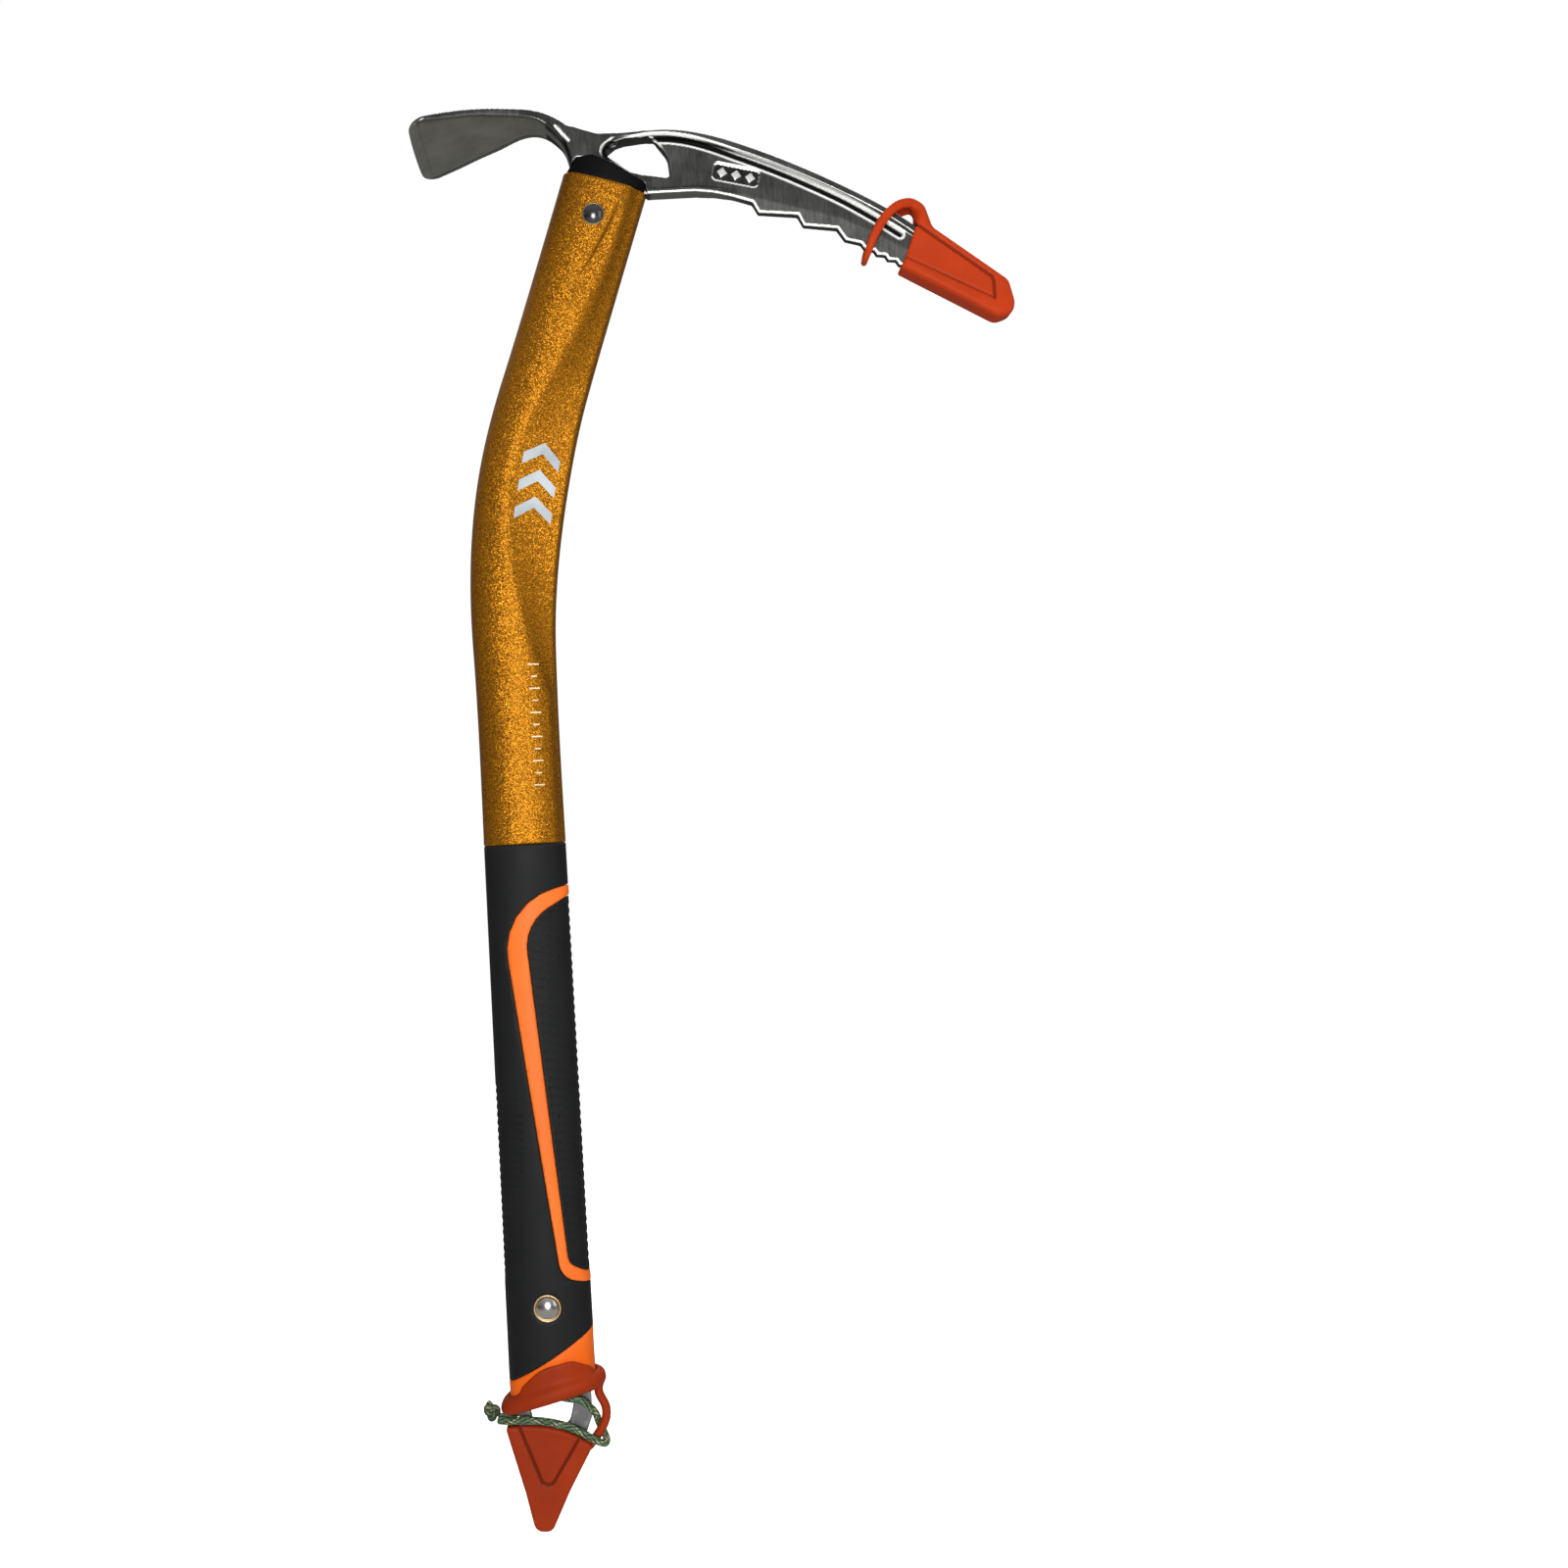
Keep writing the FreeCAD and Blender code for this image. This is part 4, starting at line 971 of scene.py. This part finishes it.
def turned(name, profiles, centre):
    """Closed (radius, depth) profiles turned about the axe's cross axis."""
    points, faces = [], []
    turn = np.linspace(0, 2 * math.pi, TURN_STEPS, endpoint=False)
    for profile in profiles:
        rows = []
        for radius, depth in profile:
            count = 1 if radius < 1e-6 else TURN_STEPS
            rows.append(list(range(len(points), len(points) + count)))
            for angle in turn[:count]:
                points.append(centre + np.array((radius * math.cos(angle), depth, radius * math.sin(angle))))
        for a, b in segments(np.arange(len(rows)), profile[0][0] > 1e-6):
            first, second = rows[a], rows[b]
            for i in range(TURN_STEPS):
                j = (i + 1) % TURN_STEPS
                ring = [first[i % len(first)], first[j % len(first)], second[j % len(second)],
                        second[i % len(second)]]
                face = [v for k, v in enumerate(ring) if v != ring[k - 1]]
                if len(face) > 2:
                    faces.append(face)
    return mesh_piece(name, np.array(points), faces)


def middle_and_half(node):
    """A node's middle and half size in the shaft's frame, in millimetres."""
    low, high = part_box(node)
    low, high = unplaced(low), unplaced(high)
    return (low + high) / 2, (high - low) / 2


def rivet(node, shank, material):
    """A set rivet: a dome with a rolled rim on each side of one shank."""
    centre, half = middle_and_half(node)
    radius, reach = half[0], half[1]
    ball = (radius ** 2 + DOME_HEIGHT ** 2) / (2 * DOME_HEIGHT)
    lean = math.asin(min(1.0, radius / ball))
    dome = [(ball * math.sin(a), reach - ball + ball * math.cos(a)) for a in np.linspace(0, lean, 14)]
    dome[-1] = (radius - 0.1, dome[-1][1] + 0.1)
    foot = reach - DOME_HEIGHT
    one_side = dome + [(radius, foot), (radius - 0.15, foot - 0.05), (shank, foot - 0.05)]
    profile = [(r, -d) for r, d in one_side] + one_side[::-1]
    return finished(turned(node + "_set", [profile], centre), material, "rivet_steel", "axe", node)


def washers(node, hole, dish, material):
    """The two rings a rivet stands on, their edges eased and their middles dished."""
    centre, half = middle_and_half(node)
    radius, face = half[0], half[1]
    back = face - WASHER_THICKNESS
    profiles = []
    for side in (-1, 1):
        ring = [(hole, back), (hole, face - dish), (radius - 1.1, face - dish),
                (radius - 0.75, face - WASHER_EASE / 2), (radius - 0.55, face), (radius - WASHER_EASE, face),
                (radius, face - WASHER_EASE), (radius, back)]
        profiles.append([(r, side * d) for r, d in (ring if side > 0 else ring[::-1])])
    return finished(turned(node + "_pair", profiles, centre), material, "washer_steel", "axe", node)


rivet("head_rivet", 3.0, dark_rivet)
rivet("spike_rivet", 3.2, bright_rivet)
washers("head_rivet_washers", 3.05, 0.3, washer_dark)
washers("spike_rivet_washers", 3.25, 0.35, washer_tan)
dress(nodes["spike_plug"], black_plastic)

# ---------------------------------------------------------------- spike

SPIKE_SIDE = [(-14.4, 0.0, 0), (-14.4, -14.0, 2.0), (-15.4, -22.0, 3.0), (-14.4, -31.0, 0),
              (-7.4, -62.0, 1.6), (11.0, -31.0, 0), (15.8, -19.0, 3.0), (15.8, -5.0, 0), (14.4, -3.8, 0),
              (14.4, 0.0, 0)]
SPIKE_TONGUE = [(-10.0, -4.0, 0), (10.0, -4.0, 0), (10.0, 44.0, 2.0), (-10.0, 44.0, 2.0)]
SPIKE_EYE = [(-11.5, -7.6, 3.0), (9.6, -7.6, 3.0), (6.0, -22.6, 4.0), (-8.6, -22.6, 4.0)]
SPIKE_HALF_DEPTH = 2.0


def spike():
    """The plate: eased edges, a hole for the rivet, and its point ground thin towards both edges."""
    b = Block((-17, -3, -64), (18, 3, 46))
    side = polygon(b.x, b.z, rounded(SPIKE_SIDE))
    eye = polygon(b.x, b.z, rounded(SPIKE_EYE))
    ground = 0.42 * np.clip(4.2 + side, 0, 4.2) * smooth_step(-27.0, -33.0, b.z)
    blade = both(both(side, b.z + 3.0), np.abs(b.y) - SPIKE_HALF_DEPTH + ground, 0.35)
    tongue = both(polygon(b.x, b.z, rounded(SPIKE_TONGUE)), np.abs(b.y) - SPIKE_HALF_DEPTH, 0.35)
    body = without(joined(blade, tongue), eye, 0.45)
    body = without(body, np.hypot(b.x - RIVET_PLACE[0], b.z - RIVET_PLACE[1]) - 3.3)
    return finished(skin("spike_plate", [(b, body)], 0.02), spike_steel, "stainless_steel", "axe", "spike")


spike()

# ---------------------------------------------------------------- pick guard

PICK_SHEATH = [(169.6, 454.2, 1.0), (178.4, 477.0, 3.0), (175.6, 481.8, 1.5), (180.6, 481.0, 3.5),
               (183.6, 471.2, 7.0), (214.6, 447.2, 5.0), (216.8, 438.0, 4.0), (215.8, 433.4, 4.0),
               (209.4, 431.2, 5.0)]
PICK_ROOM = [(160.0, 486.6, 0), (176.9, 473.2, 0), (192.6, 460.6, 0), (205.0, 448.9, 0), (213.2, 436.8, 1.5),
             (211.6, 433.8, 0), (160.0, 461.4, 0)]
PICK_PANEL = [(177.1, 471.8), (207.2, 448.6), (208.0, 446.6), (208.0, 439.4)]
PICK_PANEL_LOW = [(208.0, 439.4), (172.0, 458.2)]
PICK_STRAP = [(179.0, 0.0, 478.8), (176.6, -2.6, 481.0), (172.8, -4.4, 481.0), (167.8, -5.9, 478.6),
              (163.3, -6.6, 474.2), (159.5, -6.6, 468.6), (157.0, -5.8, 463.2), (155.7, -3.6, 459.8),
              (155.2, 0.0, 458.7)]
PICK_STRAP_RADII = [2.4, 2.1, 2.0, 1.95, 1.95, 1.9, 1.75, 1.4, 0.95]
STRAP_FLATNESS = 1.4


def pick_guard():
    """The sheath with its outlined panel and thick lower rim, and the strap that loops round the pick."""
    b = Block((151, -10, 428), (219, 10, 486))
    side = polygon(b.x, b.z, rounded(PICK_SHEATH))
    lines = near_line((b.x, b.z), np.array(PICK_PANEL))
    low_line = near_line((b.x, b.z), np.array(PICK_PANEL_LOW))
    low_rim = (b.z - 430.4) * 0.87 + (b.x - 209.6) * 0.49
    half = 5.15 + 0.65 * smooth_step(11.0, 3.0, low_rim)
    half = half - 0.75 * (1 - smooth_step(0.25, 0.8, lines)) - 0.35 * (1 - smooth_step(0.2, 1.1, low_line))
    half = half - 0.8 * smooth_step(474.0, 481.0, b.z)
    body = both(side, np.abs(b.y) - half, 2.3)
    front = through(PICK_STRAP, 4)
    share = np.linspace(0, len(PICK_STRAP) - 1, len(front))
    strap = near_line((b.x, -np.abs(b.y) * STRAP_FLATNESS, b.z), front * (1, STRAP_FLATNESS, 1),
                      np.interp(share, range(len(PICK_STRAP)), PICK_STRAP_RADII))
    root = near_line((b.x, b.y * 0.75, b.z), np.array([(180.2, 0.0, 473.0), (179.0, 0.0, 478.8)]), (2.8, 2.4))
    room = both(polygon(b.x, b.z, rounded(PICK_ROOM)), np.abs(b.y) - 3.9, 0.5)
    body = without(joined(body, root, 2.5), room, 0.5)
    body = joined(body, strap, 1.6)
    obj = skin("pick_guard_rubber", [(b, body)], 0.05)
    (x, _, z), normal = places(obj)
    cut = np.minimum(near_line((x, z), np.array(PICK_PANEL)),
                     near_line((x, z), np.array(PICK_PANEL_LOW)) + 0.25)
    # Painted shade in the panel's pressed lines.
    grooved(obj, cut, np.abs(normal[1]))
    return finished(obj, guard_orange, "guard_orange", "pick_guard", "pick_guard")


pick_guard()

# ---------------------------------------------------------------- spike guard

RING_MID_X = 0.8
FLAP = [(-15.0, -8.0, 0), (-12.0, -2.0, 4.0), (-4.0, 5.4, 14.0), (9.0, 8.0, 8.0), (17.4, 3.4, 3.0),
        (17.4, -5.0, 0)]
SHEATH = [(-20.8, -21.0, 1.5), (-6.0, -20.9, 40.0), (6.0, -24.2, 30.0), (15.6, -30.6, 1.5), (5.1, -49.0, 0),
          (-3.2, -65.8, 3.6), (-10.2, -65.4, 4.0), (-13.6, -49.0, 0)]
SHEATH_ROOM = [(-17.9, -10.0, 0), (-17.9, -20.5, 0), (-15.6, -31.4, 0), (-9.2, -61.6, 1.0),
               (-6.2, -62.6, 1.0), (-4.6, -61.6, 0), (11.4, -31.2, 0), (17.0, -18.0, 0), (17.0, -10.0, 0)]
SHEATH_PANEL = [(-14.8, -21.0, 0), (-4.6, -49.5, 3.0), (9.6, -27.6, 0)]
SPIKE_STRAP_RADIUS = 1.9
SPIKE_STRAP = [(20.2, -3.6), (19.0, -9.5), (21.3, -14.6), (21.6, -19.8), (19.0, -25.4), (14.2, -31.5)]


def spike_guard():
    """The rolled ring with its flaps, the side strap, and the sheath with its three-cornered panel."""
    b = Block((-24, -17, -68), (26, 17, 12))
    around = oval(b.x, b.y, 18.3, 11.8)
    saddle = 2.3 - 0.9 * np.clip(b.y / 6.0, -1, 1)
    mid = -8.2 + 0.25 * (b.x - RING_MID_X) + saddle * (1 - (b.x / 24.0) ** 2)
    roll = (np.sqrt(((around - 0.6) / 3.45) ** 2 + ((b.z - mid) / 3.7) ** 2) - 1) * 3.5
    flap_side = polygon(b.x, b.z, rounded(FLAP))
    flap = both(flap_side, both(around - 1.6, -around), 0.7)
    ring = joined(roll, flap, 1.6)
    ring = without(ring, around - 0.35, 0.3)
    outline = rounded(SHEATH_PANEL)
    panel = near_line((b.x, b.z), outline)
    inside = polygon(b.x, b.z, outline)
    half = 4.6 - 0.3 * smooth_step(0.3, -0.5, inside) - 0.6 * (1 - smooth_step(0.2, 0.75, panel))
    sheath = both(polygon(b.x, b.z, rounded(SHEATH)), np.abs(b.y) - half, 1.4)
    line = through([(x, 0.0, z) for x, z in SPIKE_STRAP], 5)
    strap = near_line((b.x, b.y, b.z), line, np.full(len(line), SPIKE_STRAP_RADIUS))
    room = both(polygon(b.x, b.z, rounded(SHEATH_ROOM)), np.abs(b.y) - 2.35, 0.3)
    body = joined(without(sheath, room, 0.4), strap, 1.2)
    body = without(body, both(room, b.z + 64.0))
    body = joined(body, ring, 1.0)
    obj = skin("spike_guard_rubber", [(b, body)], 0.05)
    (x, _, z), normal = places(obj)
    # Painted shade in the sheath panel's pressed lines.
    grooved(obj, near_line((x, z), outline), np.abs(normal[1]), z < -20.5)
    # The spike guard takes the guard rubber darkened as painted shade.
    return finished(obj, guard_red, "guard_red", "spike_guard", "spike_guard")


spike_guard()

# ---------------------------------------------------------------- tether

CORD_ROUTE = [(-24.0, -1.9, -18.6), (-19.0, -3.0, -19.0), (-13.0, -4.4, -18.1), (-6.0, -4.4, -18.7),
              (0.5, -4.4, -20.0), (6.5, -4.4, -22.1), (12.0, -4.4, -25.0), (16.8, -4.2, -28.2),
              (20.6, -2.6, -30.6), (21.6, 1.2, -30.2), (19.8, 4.0, -27.0), (17.9, 2.6, -22.5),
              (17.7, -1.8, -18.0), (15.0, -4.6, -13.6), (11.2, -4.8, -10.6), (6.4, -3.9, -10.4),
              (3.0, 0.0, -10.9), (0.0, 3.9, -11.6), (-6.0, 4.6, -13.6), (-12.8, 4.4, -16.6),
              (-19.0, 3.0, -19.0), (-24.0, 1.9, -18.6)]
CORD_DIAMETER = 0.003
KNOT_RADIUS = 1.35
TAIL_RADIUS = 1.3
# Painted shade: the knot and its tails darkened to this share of the cord's colour.
KNOT_PAINTED_SHADE = 0.6
KNOT_SIZE = 0.78
KNOT_TILT = math.radians(62)
CARRIERS = 12
BRAID_TURN = 0.5
STRAND_GAP = 0.22
STRAND_SIDES = 60
STRANDS = [(74, 106, 70), (132, 156, 114), (20, 24, 20), (82, 116, 76), (66, 96, 62), (24, 28, 22),
           (196, 186, 140), (60, 92, 60), (112, 142, 98), (24, 28, 22), (84, 118, 78), (60, 88, 58)]


def nurbs_line(route):
    """Points in millimetres along the smooth route through these control points."""
    curve = bpy.data.curves.new("route", "CURVE")
    curve.dimensions = "3D"
    curve.resolution_u = 12
    spline = curve.splines.new("NURBS")
    spline.points.add(len(route) - 1)
    for point, at in zip(spline.points, placed(route)):
        point.co = (*at, 1.0)
    spline.order_u = 3
    spline.use_endpoint_u = True
    obj = bpy.data.objects.new("route", curve)
    mesh = bpy.data.meshes.new_from_object(obj)
    points = np.array([v.co for v in mesh.vertices])
    bpy.data.objects.remove(obj)
    bpy.data.curves.remove(curve)
    bpy.data.meshes.remove(mesh)
    return points / MM + EYE


def even(points, gap):
    """The same line with points a fixed gap apart."""
    run = np.r_[0, np.cumsum(np.linalg.norm(np.diff(points, axis=0), axis=1))]
    at = np.linspace(0, run[-1], max(2, int(round(run[-1] / gap))) + 1)
    return np.stack([np.interp(at, run, points[:, i]) for i in range(3)], axis=1), at


def braid(line, radius, closed=False, painted_shade_factor=1.0):
    """A braided sheath round a line: two families of strands that cross over and under, darkened by painted
    shade where they dip.
    """
    centres, run = even(line, STRAND_GAP)
    tangent = np.gradient(centres, axis=0)
    tangent /= np.linalg.norm(tangent, axis=1)[:, None]
    normal = np.cross(tangent[0], (0.3, 1.0, 0.2))
    normals = []
    for t in tangent:
        normal = normal - t * (normal @ t)
        normal /= np.linalg.norm(normal)
        normals.append(normal)
    normals = np.array(normals)
    sides = np.cross(tangent, normals)
    a, s = np.meshgrid(np.linspace(0, 2 * math.pi, STRAND_SIDES, endpoint=False), run)
    turns, climb = CARRIERS * (a / (2 * math.pi)), CARRIERS * BRAID_TURN * s / (2 * math.pi * radius)
    first, second = turns + climb, turns - climb
    over = np.where((np.floor(first) + np.floor(second)) % 2 == 0, 1.0, 0.0)
    height = np.sin(math.pi * (np.where(over > 0, first, second) % 1)) ** 0.6
    swell = radius - 0.16 + 0.2 * height
    ease = np.minimum(1.0, np.minimum(run, run[-1] - run) / 0.5)
    if not closed:
        swell = swell * (0.35 + 0.65 * np.sqrt(ease))[:, None]
    points = (centres[:, None] + normals[:, None] * (swell * np.cos(a))[:, :, None]
              + sides[:, None] * (swell * np.sin(a))[:, :, None]).reshape(-1, 3)
    colours = np.array([srgb(*strand) for strand in STRANDS])
    strand = np.where(over > 0, np.floor(first) % CARRIERS, (np.floor(second) + 3) % CARRIERS).astype(int)
    tint = colours[strand].reshape(-1, 4)
    # Painted shade: each strand darker where it dips under its neighbours, and the whole length darker by the
    # painted shade factor.
    tint[:, :3] *= painted_shade_factor * (0.15 + 0.65 * height.reshape(-1, 1))
    count = len(run)
    faces = grid_faces(count, STRAND_SIDES, closed, True)
    if not closed:
        faces.append(tuple(range(STRAND_SIDES))[::-1])
        faces.append(tuple((count - 1) * STRAND_SIDES + i for i in range(STRAND_SIDES)))
    return points, faces, tint, centres


def braided_piece(name, parts):
    """One object from several braided lengths, with the strands' colours and their painted shade on its points.
    """
    points, faces, tints, shift = [], [], [], 0
    for part_points, part_faces, tint, _ in parts:
        points.append(part_points)
        faces += [tuple(v + shift for v in f) for f in part_faces]
        tints.append(tint)
        shift += len(part_points)
    obj = mesh_piece(name, np.concatenate(points), faces)
    layer = obj.data.color_attributes.new("strands", "FLOAT_COLOR", "POINT")
    layer.data.foreach_set("color", np.concatenate(tints).astype(np.float32).ravel())
    return obj


def braid_material():
    """Woven polyester: each strand's colour with its painted shade, broken up by fine filaments."""
    n = Nodes("cord_braid")
    tint = n.add("ShaderNodeAttribute", attribute_name="strands").outputs["Color"]
    thread = n.noise(6000.0, 2.0)
    paler = n.add("ShaderNodeHueSaturation", {"Color": tint, "Value": 1.35}).outputs["Color"]
    return n.finish(Base_Color=n.mix(n.span(thread, 0.3, 0.75), tint, paler),
                    Roughness=n.span(thread, 0.3, 0.7, 0.6, 0.8), Normal=n.bump(thread, 0.00004, 0.6))


def tether():
    """The braided loop and the knot that closes it."""
    material = braid_material()
    line = nurbs_line(CORD_ROUTE)
    part = braid(line, CORD_DIAMETER / MM / 2)
    cord = braided_piece("tether_braid", [part])

    middle = middle_and_half("tether_knot")[0]
    t = np.linspace(0, 2 * math.pi, 121)
    loops = np.c_[(np.sin(t) + 2 * np.sin(2 * t)) * KNOT_SIZE * 0.98,
                  (np.cos(t) - 2 * np.cos(2 * t)) * KNOT_SIZE, -np.sin(3 * t) * 1.5]
    sine, cosine = math.sin(KNOT_TILT), math.cos(KNOT_TILT)
    turned_loops = np.c_[loops[:, 0], loops[:, 1] * cosine - loops[:, 2] * sine,
                         loops[:, 1] * sine + loops[:, 2] * cosine]
    tails = [[(-26.0, -1.6, -14.6), (-27.8, -1.9, -13.4), (-29.4, -1.9, -12.9)],
             [(-26.4, 1.4, -14.2), (-27.6, 2.0, -12.9), (-28.4, 2.4, -12.3)]]
    parts = [braid(turned_loops[:-1] + middle, KNOT_RADIUS, closed=True, painted_shade_factor=KNOT_PAINTED_SHADE)]
    parts += [braid(through(tail, 6), TAIL_RADIUS, painted_shade_factor=KNOT_PAINTED_SHADE) for tail in tails]
    knot = braided_piece("tether_knot_braid", parts)
    finished(knot, material, "cord_braid", "axe", "tether_knot")
    dress(cord, material)
    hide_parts("tether_cord")
    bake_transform(cord)


tether()

# ---------------------------------------------------------------- stage and light


GUARD_TRAVEL = 0.045
FLOOR_GAP = 0.004


def stage():
    """A pale floor under the lowest point that the spike guard reaches."""
    low = cad_low.z - GUARD_TRAVEL - FLOOR_GAP
    mesh = bpy.data.meshes.new("floor")
    reach = 3.0
    mesh.from_pydata([(-reach, -reach, low), (reach, -reach, low), (reach, reach, low), (-reach, reach, low)],
                     [], [(0, 1, 2, 3)])
    floor = bpy.data.objects.new("floor", mesh)
    bpy.context.scene.collection.objects.link(floor)
    n = Nodes("floor")
    n.finish(Base_Color=(0.93, 0.93, 0.93, 1.0), Roughness=0.8, Emission_Color=(1.0, 1.0, 1.0, 1.0),
             Emission_Strength=0.6)
    mesh.materials.append(n.material)
    floor.visible_glossy = False
    floor.visible_diffuse = False


def lamp(name, place, aim, size, power):
    data = bpy.data.lights.new(name, "AREA")
    data.shape = "RECTANGLE"
    data.size, data.size_y = size
    data.energy = power
    obj = bpy.data.objects.new(name, data)
    obj.location = place
    obj.rotation_euler = (Vector(aim) - Vector(place)).to_track_quat("-Z", "Y").to_euler()
    bpy.context.scene.collection.objects.link(obj)


def sky():
    """White to the camera; for everything else a studio, dim all round and brighter above and below."""
    world = bpy.data.worlds.new("studio")
    bpy.context.scene.world = world
    world.use_nodes = True
    tree = world.node_tree
    tree.nodes.clear()
    kinds = ("OutputWorld", "MixShader", "Background", "Background", "LightPath", "TexCoord", "SeparateXYZ",
             "Math", "ValToRGB")
    out, mix, seen, around, path, coords, split, lift, tones = (tree.nodes.new("ShaderNode" + kind)
                                                                for kind in kinds)
    lift.operation = "MULTIPLY_ADD"
    lift.inputs[1].default_value = 0.5
    lift.inputs[2].default_value = 0.5
    seen.inputs[0].default_value = (1, 1, 1, 1)
    steps = tones.color_ramp.elements
    steps[0].position, steps[0].color = 0.3, (0.55, 0.55, 0.52, 1)
    steps[1].position, steps[1].color = 0.92, (0.6, 0.6, 0.6, 1)
    steps.new(0.47).color = (0.07, 0.07, 0.07, 1)
    for source, socket in ((coords.outputs["Generated"], split), (split.outputs["Z"], lift), (lift, tones),
                           (tones, around), (path.outputs["Is Camera Ray"], mix),
                           (around, mix.inputs[1]), (seen, mix.inputs[2]), (mix, out)):
        source = source.outputs[0] if hasattr(source, "outputs") else source
        tree.links.new(source, socket.inputs[0] if hasattr(socket, "inputs") else socket)


stage()
sky()
lamp("key", (-0.02, -1.35, -0.2), (0.0, 0.0, -0.27), (0.45, 0.66), 17)
lamp("fill", (1.1, -0.9, 0.1), (0.0, 0.0, -0.25), (0.5, 1.2), 3)
lamp("rim", (0.2, 0.9, 0.9), (0.0, 0.0, -0.1), (1.0, 0.5), 14)
bpy.context.scene.view_settings.view_transform = "Standard"
